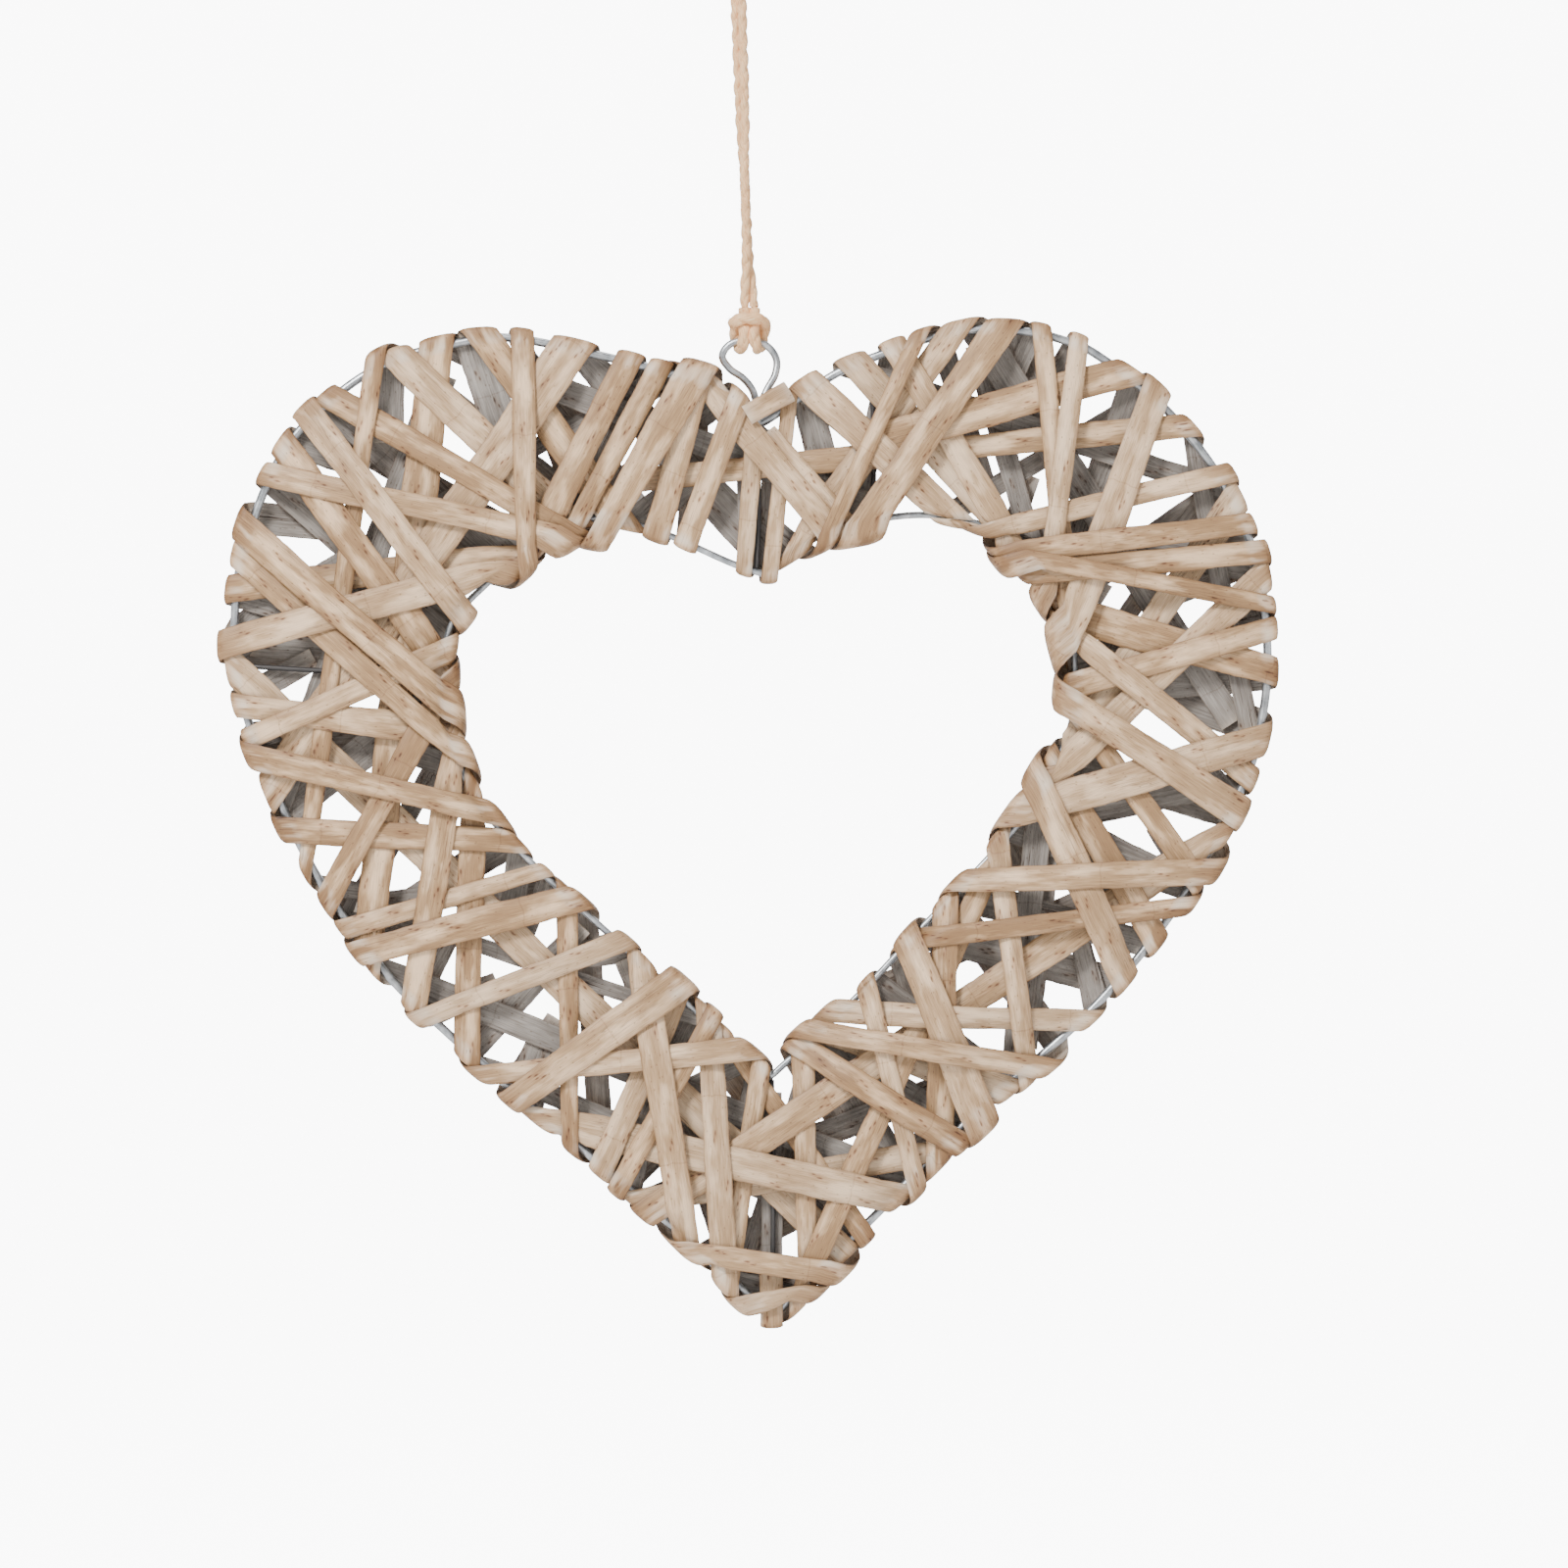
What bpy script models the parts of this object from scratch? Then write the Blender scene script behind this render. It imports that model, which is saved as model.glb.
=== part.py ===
"""Openwork wicker heart: two heart-shaped wire hoops, wound with split willow, on a jute twine.

Metres, +Z up. The heart hangs in the XZ plane with its face towards -Y. The origin is the
inside of the twine's open loop, at its top, where the heart hangs from a peg.
"""

import math

import bmesh
import bpy
import numpy as np
from mathutils import Vector

# Heart, measured over the centreline of its outer wire
HEART_WIDTH = 0.391
HEART_DROP = 0.3315  # from the origin down to the level that the outlines are measured from
HEART_SHIFT = 0.010  # the heart's middle lies to the right of the twine

# Wires
OUTER_WIRE = 0.0033
INNER_WIRE = 0.0026
TIE_WIRE = 0.0020
EYE_WIRE = 0.0028

# Willow
STRIP_THICKNESS = 0.0011
STRIP_CREST = 0.62  # width of a strip's rounded face as a share of its underside
TUCK_LENGTH = 0.032  # how far a strip's end runs on behind the last wire
TUCK_WIDTH = 0.85  # of the strip's own width, for an end that runs on behind
TUCK_SLOPE = 0.5  # how straight away from the wire a tucked end runs, at least
TAIL_SHARE = 0.93  # of the way to the place that a longer end runs towards
OUTER_SLACK = 0.0012  # how loosely the strips fold round the outer hoop, and the inner
INNER_SLACK = 0.0002
CLEARANCE = 0.0003  # between pieces that touch
WEAVE_MARGIN = 0.0001  # more than the clearance, for a strip that tilts as it crosses another

# Twine
TWINE = 0.0030
LOOP_RADIUS = 0.0085

# Outlines of the two hoops, from the cleft down to the tip, in hundredths of HEART_WIDTH
# right of and above the heart's middle
OUTER_LEFT = (
    (-0.7, 34.7), (-2.2, 36.5), (-4.3, 38.2), (-7.6, 39.3), (-15.4, 41.3), (-24.3, 43.1),
    (-29.8, 42.6), (-36.7, 40.6), (-42.6, 36.5), (-47.0, 31.2), (-50.4, 22.3), (-51.2, 15.0),
    (-50.4, 8.0), (-47.6, 0.0), (-43.0, -9.3), (-36.8, -18.0), (-30.8, -23.9), (-22.2, -31.4),
    (-12.8, -39.3), (-6.7, -44.7), (0.7, -51.5),
)
OUTER_RIGHT = (
    (-0.7, 34.7), (0.9, 35.6), (6.8, 39.6), (11.5, 41.6), (15.6, 43.0), (19.9, 43.9), (24.8, 43.8),
    (28.9, 42.9), (32.4, 41.3), (39.0, 36.0), (44.5, 28.8), (47.6, 21.2), (48.6, 13.5), (48.2, 6.9),
    (46.3, 0.0), (40.3, -11.1), (31.9, -21.5), (19.9, -32.3), (10.4, -42.0), (0.7, -51.5),
)
INNER_LEFT = (
    (0.5, 20.1), (-3.1, 21.3), (-8.9, 23.9), (-12.5, 25.1), (-16.1, 25.7), (-20.4, 24.4),
    (-23.7, 21.8), (-26.8, 19.4), (-30.3, 15.3), (-31.0, 9.5), (-30.3, 4.5), (-27.8, -1.4),
    (-23.7, -6.4), (-18.0, -11.8), (-7.1, -21.5), (0.7, -28.2),
)
INNER_RIGHT = (
    (0.5, 20.1), (2.2, 22.2), (6.6, 24.5), (10.4, 25.5), (14.9, 26.0), (18.9, 25.6), (22.7, 24.3),
    (25.9, 21.6), (29.3, 15.6), (30.0, 8.5), (28.8, 3.4), (25.1, -3.1), (19.2, -9.8), (15.3, -13.8),
    (8.6, -20.9), (0.7, -28.2),
)

# Ends of strips that are tucked in on the face, in the same hundredths
TUCKED_ENDS = {
    "A": (-0.9, 33.5),
    "B": (-12.3, 29.4),
    "C": (0.3, 34.0),
    "D": (8.5, 32.5),
    "E": (-1.7, 35.5),
    "F": (0.6, -46.5),
    "G": (2.4, 37.9),
}

# The weaving, strip by strip in the order that they are laid. Each comma parts one pass over
# the face from the next, and says from where to where it runs and its width in millimetres.
# L and R are the outer hoop's left and right halves, l and r the inner hoop's, each with the
# place in thousandths of the way from the cleft (0) to the tip (1000). A lone capital is a
# tucked end. Between two passes the strip folds round the hoop and crosses behind. Past a ~
# an end runs on behind towards that place, and elsewhere it is tucked in behind the last fold.
WEAVE = (
    "F L1000 9 ~ l1000",
    "L419 l283 11, L181 l170 13",
    "L471 R939 13",
    "r156 ~ L212 L663 12 ~ R880",
    "B R303 9 ~ R524",
    "L893 R852 10, r929 R795 10, r555 R362 10, R74 r312 10",
    "L236 l219 13",
    "A l28 7 ~ L14",
    "L620 ~ l939 R921 7, L750 l568 10",
    "R524 ~ R138 r45 12, L128 L545 13 ~ L200",
    "R968 r955 8, L964 l985 8",
    "r215 ~ R24 l0 7 ~ R10",
    "C r102 7, R101 r282 10 ~ R152",
    "R752 ~ L901 R582 12",
    "l776 ~ R975 r654 9, R613 r484 9, R471 r380 12, R253 D 13",
    "L440 ~ L72 l213 8, L92 l260 11, L284 l232 10, L253 L594 7",
    "L327 l432 12, L575 l632 10",
    "L493 l499 10, L645 l676 7",
    "R850 r739 11, R658 r552 10 ~ R776",
    "L41 r82 11, R42 r212 12, R414 r567 11 ~ R620",
    "L816 R892 13, r898 R729 9",
    "L961 l914 11, L860 l870 10",
    "R195 r402 8, R446 r459 9 ~ R344",
    "R872 r861 8, R774 r657 8, R539 r405 9, R342 r262 8 ~ R272",
    "L512 l416 9, L346 l247 9, L18 l94 9, L46 l127 9 ~ L164",
    "L875 l914 8, L834 l715 7, L622 l457 10 ~ L452",
    "R219 r343 8, R278 r399 13, R517 r601 13",
    "l745 ~ L772 l956 10",
    "E G 8",
    "R396 r331 10, R377 r303 8, R114 r82 7",
    "L706 l521 11, L401 l518 9",
    "R429 r314 7",
    "R635 r790 8, R840 r955 10",
    "r482 R562 12, r581 R689 12, r796 R816 11, L928 l820 11",
    "L452 l307 12, L302 l368 11",
    "r870 ~ R608 r703 10, R771 r929 9",
    "R168 r125 13, L51 l176 10, L158 l274 8",
    "L384 l465 13, L527 l590 10, L663 l720 11 ~ L860",
    "L718 l787 8, L987 R977 7",
    "L793 l859 12, R957 L941 9",
)

# Ties between the hoops: a place on the outer hoop and one on the inner, as above
TIES = {
    "cleft_tie_wire": ("L0", "l14"),
    "tip_tie_wire": ("L1000", "l1000"),
    "left_tie_wire": ("L467", "l443"),
    "right_tie_wire": ("R84", "r130"),
}

PALE_WILLOW = (0.62, 0.50, 0.40, 1.0)
GALVANISED = (0.42, 0.44, 0.46, 1.0)
JUTE = (0.50, 0.33, 0.19, 1.0)


def clear_scene():
    for old in list(bpy.data.objects):
        bpy.data.objects.remove(old, do_unlink=True)


def material(name, colour, roughness, metallic):
    made = bpy.data.materials.new(name)
    made.use_nodes = True
    shader = made.node_tree.nodes["Principled BSDF"]
    shader.inputs["Base Color"].default_value = colour
    shader.inputs["Roughness"].default_value = roughness
    shader.inputs["Metallic"].default_value = metallic
    return made


def add_object(name, data, finish):
    data.materials.append(finish)
    made = bpy.data.objects.new(name, data)
    bpy.context.scene.collection.objects.link(made)
    return made


# Smooth lines


def smooth(points, closed=False, steps=24):
    """A line through the points, as Catmull and Rom draw it."""
    p = np.array(points, float)
    if closed:
        p = np.vstack([p[-1], p, p[0], p[1]])
    else:
        p = np.vstack([2 * p[0] - p[1], p, 2 * p[-1] - p[-2]])
    line = []
    for i in range(1, len(p) - 2):
        a, b, c, d = p[i - 1], p[i], p[i + 1], p[i + 2]
        for k in range(steps):
            t = k / steps
            line.append(0.5 * (2 * b + (c - a) * t + (2 * a - 5 * b + 4 * c - d) * t**2
                               + (3 * b - a - 3 * c + d) * t**3))
    if not closed:
        line.append(p[-2])
    return np.array(line)


def even(line, step):
    """The same line with its points about one step apart."""
    run = np.concatenate([[0], np.cumsum(np.linalg.norm(np.diff(line, axis=0), axis=1))])
    count = max(2, int(round(run[-1] / step)) + 1)
    at = np.linspace(0, run[-1], count)
    return np.column_stack([np.interp(at, run, line[:, k]) for k in range(line.shape[1])])


def turn(vector):
    return np.array((-vector[1], vector[0]))


def unit(vector):
    return vector / np.linalg.norm(vector)


# The hoops in plan: x to the right, z up, both from the origin

LINE_STEP = 0.001


def place(percent):
    return np.array((HEART_SHIFT + percent[0] * HEART_WIDTH / 100,
                     percent[1] * HEART_WIDTH / 100 - HEART_DROP))


def half(points):
    return even(smooth([place(p) for p in points]), LINE_STEP)


HALVES = {"L": half(OUTER_LEFT), "R": half(OUTER_RIGHT), "l": half(INNER_LEFT), "r": half(INNER_RIGHT)}
WIRE_RADIUS = {"L": OUTER_WIRE / 2, "R": OUTER_WIRE / 2, "l": INNER_WIRE / 2, "r": INNER_WIRE / 2}
SPREAD = 0.004  # length of wire that a fold's direction is read from
SHARED_TURN = math.radians(72)  # between two folds that lie over each other, at most


class Stop:
    """A place where a strip folds round a hoop: its point, the way along, the way out."""

    def __init__(self, code):
        self.half = code[0]
        line = HALVES[self.half]
        share = int(code[1:]) / 1000
        at = share * (len(line) - 1)
        k = min(int(at), len(line) - 2)
        self.point = line[k] + (line[k + 1] - line[k]) * (at - k)
        reach = int(SPREAD / LINE_STEP)
        if share in (0.0, 1.0):
            self.along = np.array((1.0, 0.0))
        else:
            self.along = unit(line[min(k + reach, len(line) - 1)] - line[max(k - reach, 0)])
        self.out = turn(self.along)
        middle = place((0, 5))
        if np.dot(self.out, self.point - middle) < 0:
            self.out = -self.out
        if share in (0.0, 1.0) and self.half in "LR":
            self.out = np.array((0.0, 1.0 if share == 0.0 else -1.0))
        if self.half in "lr":
            self.out = -self.out


class TuckedEnd:
    """An end of a strip that lies free among the others."""

    def __init__(self, point):
        self.half = None
        self.point = point


# Heights of what is already laid, over the face and behind, in cells of a grid

CELL = 0.0007
GRID_LOW = place((-56, -56))
GRID_HIGH = place((56, 56))
GRID_SHAPE = tuple(int(math.ceil(v / CELL)) + 1 for v in GRID_HIGH - GRID_LOW)
FACE, BEHIND = -1, 1
heights = {FACE: np.zeros(GRID_SHAPE), BEHIND: np.zeros(GRID_SHAPE)}


def cells(points):
    return np.clip(np.rint((points - GRID_LOW) / CELL).astype(int), 1, np.array(GRID_SHAPE) - 2)


def height_at(side, points):
    c = cells(points)
    return heights[side][c[..., 0], c[..., 1]]


def raise_to(side, points, tops):
    c = cells(points).reshape(-1, 2)
    tops = np.broadcast_to(tops, points.shape[:-1]).reshape(-1)
    for dx in (-1, 0, 1):
        for dz in (-1, 0, 1):
            np.maximum.at(heights[side], (c[:, 0] + dx, c[:, 1] + dz), tops)


def lay_wire(line, radius):
    """Marks a wire's own height, with depth as the line's second value where it has one."""
    flat = line[:, (0, -1)]
    depth = line[:, 1] if line.shape[1] == 3 else np.zeros(len(line))
    for side in heights:
        for share in np.linspace(-1, 1, 5):
            way = np.gradient(flat, axis=0)
            way /= np.maximum(np.linalg.norm(way, axis=1, keepdims=True), 1e-9)
            across = np.column_stack([-way[:, 1], way[:, 0]]) * share * radius
            raise_to(side, flat + across, np.maximum(radius + side * depth, 0))


# What already stands out beyond each hoop: points on the outer edges of the folds

rims = {"outer": [], "inner": []}


def hoop_of(half_name):
    return "outer" if half_name in "LR" else "inner"


def start_rims():
    for name, line in HALVES.items():
        ends = [Stop("%s%d" % (name, round(1000 * k / (len(line) - 1)))) for k in range(0, len(line), 2)]
        for stop in ends:
            rims[hoop_of(name)].append((stop.point + stop.out * WIRE_RADIUS[name], stop.out))


def fold_reach(stop, half_width):
    """How far out of the hoop's centreline a new fold has to pass."""
    reach = WIRE_RADIUS[stop.half] + (OUTER_SLACK if stop.half in "LR" else INNER_SLACK)
    for point, out in rims[hoop_of(stop.half)]:
        offset = point - stop.point
        faces_alike = np.dot(out, stop.out) > math.cos(SHARED_TURN)
        if faces_alike and abs(np.dot(offset, stop.along)) < half_width + CLEARANCE:
            reach = max(reach, np.dot(offset, stop.out))
    return reach + CLEARANCE + WEAVE_MARGIN


def mark_fold(stop, half_width, reach, tops):
    rim = stop.point + stop.out * (reach + STRIP_THICKNESS)
    for share in np.linspace(-1, 1, 9):
        rims[hoop_of(stop.half)].append((rim + stop.along * half_width * share, stop.out))
    for side, top in tops.items():
        raise_to(side, fold_patch(stop, half_width, reach), top)


def fold_patch(stop, half_width, reach):
    along = np.linspace(-half_width, half_width, 15)
    out = np.linspace(0, reach + STRIP_THICKNESS, 9)
    a, o = np.meshgrid(along, out)
    return stop.point + a[..., None] * stop.along + o[..., None] * stop.out


# Strips

WIDEST_SLANT = 1.3  # a slanting fold's length along the wire, at most, over the strip's width
GATHERED = 0.6  # a strip that is gathered into a fold has its full width again this many widths on
FOLD_SHOULDER = 0.65  # height where a fold turns out of the face, as a share of its full height
CONTACTS = 2  # crossings that one pass is bent over, at most
SHORTEST_SPAN = 0.009
SLIGHTEST_BEND = 3e-6  # area between the tight line and one with a bend less, in square metres


def taut(runs, needs):
    """The tight line over all the needs, as the runs and heights of its bends."""
    hull = []
    for s, h in zip(runs, needs):
        while len(hull) > 1:
            (s0, h0), (s1, h1) = hull[-2], hull[-1]
            if (h1 - h0) * (s - s0) > (h - h0) * (s1 - s0):
                break
            hull.pop()
        hull.append((s, h))
    while len(hull) > 3:
        best = None
        for i in range(1, len(hull) - 2):
            (s0, h0), (s1, h1), (s2, h2), (s3, h3) = hull[i - 1:i + 3]
            rise_in = (h1 - h0) / (s1 - s0)
            rise_out = (h3 - h2) / (s3 - s2)
            s = (h2 - h1 + rise_in * s1 - rise_out * s2) / (rise_in - rise_out)
            extra = (s2 - s1) * abs(h1 + rise_in * (s - s1) - max(h1, h2))
            if best is None or extra < best[0]:
                best = (extra, i, (s, h1 + rise_in * (s - s1)))
            if s2 - s1 < SHORTEST_SPAN:
                best = (0, i, (s, h1 + rise_in * (s - s1)))
                break
        if len(hull) - 2 <= CONTACTS and best[0] > SLIGHTEST_BEND:
            break
        hull[best[1]:best[1] + 2] = [best[2]]
    return hull


def corner_reach(stop, way, width):
    """Half of a fold's length along the wire, for a strip that meets it slanting."""
    square = max(abs(np.dot(way, stop.out)), 1 / WIDEST_SLANT)
    return width / 2 / square


class Pass:
    """One crossing of the strip, over the face or behind, from one place to the next."""

    def __init__(self, start, end, width, side):
        self.start, self.end, self.width, self.side = start, end, width, side
        self.way = unit(end.point - start.point)
        self.left = turn(self.way) * (1 if side == FACE else -1)
        self.length = np.linalg.norm(end.point - start.point)

    def corners(self, stop, half_width):
        if stop.half is None:
            return stop.point + self.left * self.width / 2, stop.point - self.left * self.width / 2
        along = stop.along * math.copysign(1, np.dot(stop.along, self.left))
        return stop.point + along * half_width, stop.point - along * half_width

    def gathers(self, stop, half_width):
        """How far from a fold the strip has its full width again, where it is gathered in there."""
        if stop.half is None or abs(np.dot(self.way, stop.out)) * WIDEST_SLANT >= 1:
            return None
        return half_width + self.width * GATHERED

    def set_edges(self, half_start, half_end):
        """The two edges in plan, as runs along the strip and points."""
        runs = [0.0]
        lefts, rights = ([p] for p in self.corners(self.start, half_start))
        near = self.gathers(self.start, half_start)
        far = self.gathers(self.end, half_end)
        marks = [near] if near else []
        if far and self.length - far > (near or 0) + SHORTEST_SPAN:
            marks.append(self.length - far)
        for run in marks:
            middle = self.start.point + self.way * run
            runs.append(run)
            lefts.append(middle + self.left * self.width / 2)
            rights.append(middle - self.left * self.width / 2)
        left, right = self.corners(self.end, half_end)
        self.runs = runs + [self.length]
        self.lefts = np.array(lefts + [left])
        self.rights = np.array(rights + [right])

    def edges(self, runs):
        lefts = np.column_stack([np.interp(runs, self.runs, self.lefts[:, k]) for k in (0, 1)])
        rights = np.column_stack([np.interp(runs, self.runs, self.rights[:, k]) for k in (0, 1)])
        return lefts, rights


def end_height(part, stop, half_width, reach):
    patch = fold_patch(stop, half_width, reach)
    return height_at(part.side, patch).max() + CLEARANCE + WEAVE_MARGIN


def strip_sections(route, widths, first_side):
    """Cross-sections of a whole strip: left edge, right edge, underside, crest, all in 3-D."""
    side = first_side
    parts = []
    for start, end, width in zip(route, route[1:], widths):
        parts.append(Pass(start, end, width, side))
        side = -side
    folds = []
    for i, stop in enumerate(route):
        if stop.half is None:
            folds.append(0)
            continue
        near = [p for p in (parts[i - 1] if i > 0 else None, parts[i] if i < len(parts) else None) if p]
        folds.append(sum(corner_reach(stop, p.way, p.width) for p in near) / len(near))
    reaches = {}
    sections = []
    for i, part in enumerate(parts):
        ends = []
        for j in (i, i + 1):
            if route[j].half is None:
                ends.append(0)
            else:
                if j not in reaches:
                    reaches[j] = fold_reach(route[j], folds[j])
                ends.append(end_height(part, route[j], folds[j], reaches[j]))
        part.set_edges(folds[i], folds[i + 1])
        runs = np.linspace(0, part.length, max(8, int(part.length / CELL)))
        lefts, rights = part.edges(runs)
        across = np.linspace(0, 1, 15)
        floor = lefts[:, None] + (rights - lefts)[:, None] * across[None, :, None]
        needs = height_at(part.side, floor).max(axis=1) + CLEARANCE + WEAVE_MARGIN
        needs[0] = max(needs[0], ends[0])
        needs[-1] = max(needs[-1], ends[1])
        bends = taut(runs, needs)
        line = np.interp(runs, [b[0] for b in bends], [b[1] for b in bends])
        raise_to(part.side, floor, (line + STRIP_THICKNESS)[:, None])
        if i in reaches:
            fold_sections(sections, part, route[i], folds[i], reaches[i], bends[0][1])
        extra = [r for r in part.runs[1:-1] if min(abs(r - b[0]) for b in bends) > SHORTEST_SPAN / 2]
        for run in sorted([b[0] for b in bends] + extra):
            height = np.interp(run, [b[0] for b in bends], [b[1] for b in bends])
            (left,), (right,) = part.edges([run])
            sections.append(section(left, right, part.side * height,
                                    part.side * (height + STRIP_THICKNESS)))
    return sections


def section(left, right, under, crest, crest_shift=None):
    """Four corners: the underside's left and right, then the crest's right and left."""
    inset = (right - left) * (1 - STRIP_CREST) / 2
    shift = np.zeros(2) if crest_shift is None else crest_shift
    corners = ((left, under), (right, under), (right - inset + shift, crest), (left + inset + shift, crest))
    return [(point[0], depth, point[1]) for point, depth in corners]


def fold_sections(sections, part, stop, half_width, reach, height):
    """Carries the strip round the hoop, from the side it came on to the side of this pass."""
    came = part.side * -1
    came_height = abs(sections[-1][0][1])
    left, right = part.corners(stop, half_width)
    crest_shift = stop.out * STRIP_THICKNESS
    for side, full in ((came, came_height), (part.side, height)):
        sections.append(section(left + stop.out * reach, right + stop.out * reach,
                                side * full * FOLD_SHOULDER, side * (full + STRIP_THICKNESS) * FOLD_SHOULDER,
                                crest_shift))
    mark_fold(stop, half_width, reach,
              {came: came_height + STRIP_THICKNESS, part.side: height + STRIP_THICKNESS})


def tuck(stop, other):
    """Where a strip's hidden end stops, behind the heart, after its last fold."""
    arriving = unit(stop.point - other.point)
    leaving = arriving - 2 * np.dot(arriving, stop.out) * stop.out
    if np.dot(leaving, stop.out) > -TUCK_SLOPE:
        leaving = unit(leaving - stop.out * TUCK_SLOPE)
    return TuckedEnd(stop.point + leaving * TUCK_LENGTH)


def tail(stop, code):
    return TuckedEnd(stop.point + (Stop(code).point - stop.point) * TAIL_SHARE)


def read_route(text):
    """The stops of a strip, the width of each pass and the side that it starts on."""
    pieces = text.split(" ~ ")
    first = pieces.pop(0) if " " not in pieces[0] else None
    last = pieces.pop() if len(pieces) > 1 else None
    route, widths = [], []
    for one in pieces[0].split(","):
        start, end, width = one.split()
        if widths:
            widths.append((widths[-1] + float(width) / 1000) / 2)
        for code in (start, end):
            route.append(TuckedEnd(place(TUCKED_ENDS[code])) if code in TUCKED_ENDS else Stop(code))
        widths.append(float(width) / 1000)
    side = FACE
    if route[0].half is not None:
        route.insert(0, tail(route[0], first) if first else tuck(route[0], route[1]))
        widths.insert(0, widths[0] * TUCK_WIDTH)
        side = BEHIND
    if route[-1].half is not None:
        route.append(tail(route[-1], last) if last else tuck(route[-1], route[-2]))
        widths.append(widths[-1] * TUCK_WIDTH)
    return route, widths, side


def loft(name, sections, finish):
    """A closed solid through four-cornered sections.

    Each stretch is split along its underside's shorter diagonal, and its crest along the same
    one, so that a thin stretch can twist without crossing itself.
    """
    shape = bmesh.new()
    rings = [[shape.verts.new(Vector(p)) for p in one] for one in sections]
    for near, far in zip(rings, rings[1:]):
        from_left = (near[0].co - far[1].co).length <= (near[1].co - far[0].co).length
        for k in range(4):
            a, b, c, d = near[k], near[(k + 1) % 4], far[(k + 1) % 4], far[k]
            if from_left == (k != 2):
                corners = ((a, b, c), (a, c, d))
            else:
                corners = ((a, b, d), (b, c, d))
            for three in corners:
                shape.faces.new(three)
    shape.faces.new(rings[0][::-1])
    shape.faces.new(rings[-1])
    bmesh.ops.recalc_face_normals(shape, faces=shape.faces)
    mesh = bpy.data.meshes.new(name)
    shape.to_mesh(mesh)
    shape.free()
    return add_object(name, mesh, finish)


def weave(finish):
    for number, text in enumerate(WEAVE, 1):
        route, widths, side = read_route(text)
        sections = strip_sections(route, widths, side)
        loft("willow_strip_%02d" % number, sections, finish)


# Wires and twine

WIDEST_TURN = math.radians(14)
DEEPEST_SAG = 0.00012  # between a wire's smooth line and its straight stretches


def thin_out(line):
    """Keeps a point of a fine closed line only where it has bent enough since the last one."""
    ways = np.diff(np.vstack([line, line[:1]]), axis=0)
    steps = np.linalg.norm(ways, axis=1, keepdims=True)
    ways /= steps
    kept = [0]
    turned = 0.0
    for k in range(1, len(ways)):
        turned += math.acos(max(-1.0, min(1.0, float(np.dot(ways[k - 1], ways[k])))))
        run = steps[kept[-1]:k].sum()
        if turned >= WIDEST_TURN or turned * run / 8 >= DEEPEST_SAG:
            kept.append(k)
            turned = 0.0
    return line[kept]


def rod(name, line, radius, finish, closed=False, sides=6):
    """A round rod along a line in three dimensions."""
    points = [Vector(p) for p in line]
    count = len(points)
    rings = []
    normal = None
    for i, point in enumerate(points):
        before = points[i - 1] if (i > 0 or closed) else point
        after = points[(i + 1) % count] if (i < count - 1 or closed) else point
        way = (after - before).normalized()
        if normal is None:
            normal = way.orthogonal().normalized()
            if abs(way.y) < 0.9:
                normal = Vector((0, 1, 0)).cross(way).normalized()
        normal = (normal - way * normal.dot(way)).normalized()
        other = way.cross(normal)
        ring = []
        for k in range(sides):
            angle = 2 * math.pi * (k + 0.5) / sides
            ring.append(point + (normal * math.cos(angle) + other * math.sin(angle)) * radius)
        rings.append(ring)
    shape = bmesh.new()
    rings = [[shape.verts.new(p) for p in ring] for ring in rings]
    pairs = list(zip(rings, rings[1:]))
    if closed:
        pairs.append((rings[-1], rings[0]))
    else:
        shape.faces.new(rings[0][::-1])
        shape.faces.new(rings[-1])
    for near, far in pairs:
        offset = 0
        if far is rings[0] and closed:
            offset = min(range(sides), key=lambda n: (near[0].co - far[n].co).length)
        for k in range(sides):
            shape.faces.new((near[k], near[(k + 1) % sides],
                             far[(k + 1 + offset) % sides], far[(k + offset) % sides]))
    bmesh.ops.recalc_face_normals(shape, faces=shape.faces)
    mesh = bpy.data.meshes.new(name)
    shape.to_mesh(mesh)
    shape.free()
    mesh.shade_smooth()
    return add_object(name, mesh, finish)


def hoop_line(left, right):
    flat = np.vstack([HALVES[left], HALVES[right][::-1][1:-1]])
    return np.column_stack([flat[:, 0], np.zeros(len(flat)), flat[:, 1]])


def hoops(finish):
    for name, left, right, size in (("outer_heart_wire", "L", "R", OUTER_WIRE),
                                    ("inner_heart_wire", "l", "r", INNER_WIRE)):
        line = hoop_line(left, right)
        lay_wire(line, size / 2)
        rod(name, thin_out(line), size / 2, finish, closed=True)


def clear_of(line, hoop, wire_radius):
    """The stretch of a tie whose rim stays clear of a hoop."""
    rim = turn(unit(line[-1] - line[0])) * TIE_WIRE / 2
    far = np.full(len(line), np.inf)
    for part in (line - rim, line, line + rim):
        away = np.linalg.norm(part[:, None] - hoop[None], axis=2).min(axis=1)
        far = np.minimum(far, away)
    return line[far > wire_radius + CLEARANCE]


def ties(finish):
    outer_line = np.vstack([HALVES["L"], HALVES["R"]])
    inner_line = np.vstack([HALVES["l"], HALVES["r"]])
    for name, (outer, inner) in TIES.items():
        flat = even(np.array((Stop(outer).point, Stop(inner).point)), CLEARANCE)
        flat = clear_of(flat, outer_line, OUTER_WIRE / 2)
        flat = clear_of(flat, inner_line, INNER_WIRE / 2)
        if name == "cleft_tie_wire":
            flat = flat[flat[:, 1] < Stop(outer).point[1] - EYE_BOTTOM - CLEARANCE]
        line = np.column_stack([flat[:, 0], np.zeros(len(flat)), flat[:, 1]])
        lay_wire(line, TIE_WIRE / 2)
        rod(name, line[[0, -1]], TIE_WIRE / 2, finish)


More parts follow.
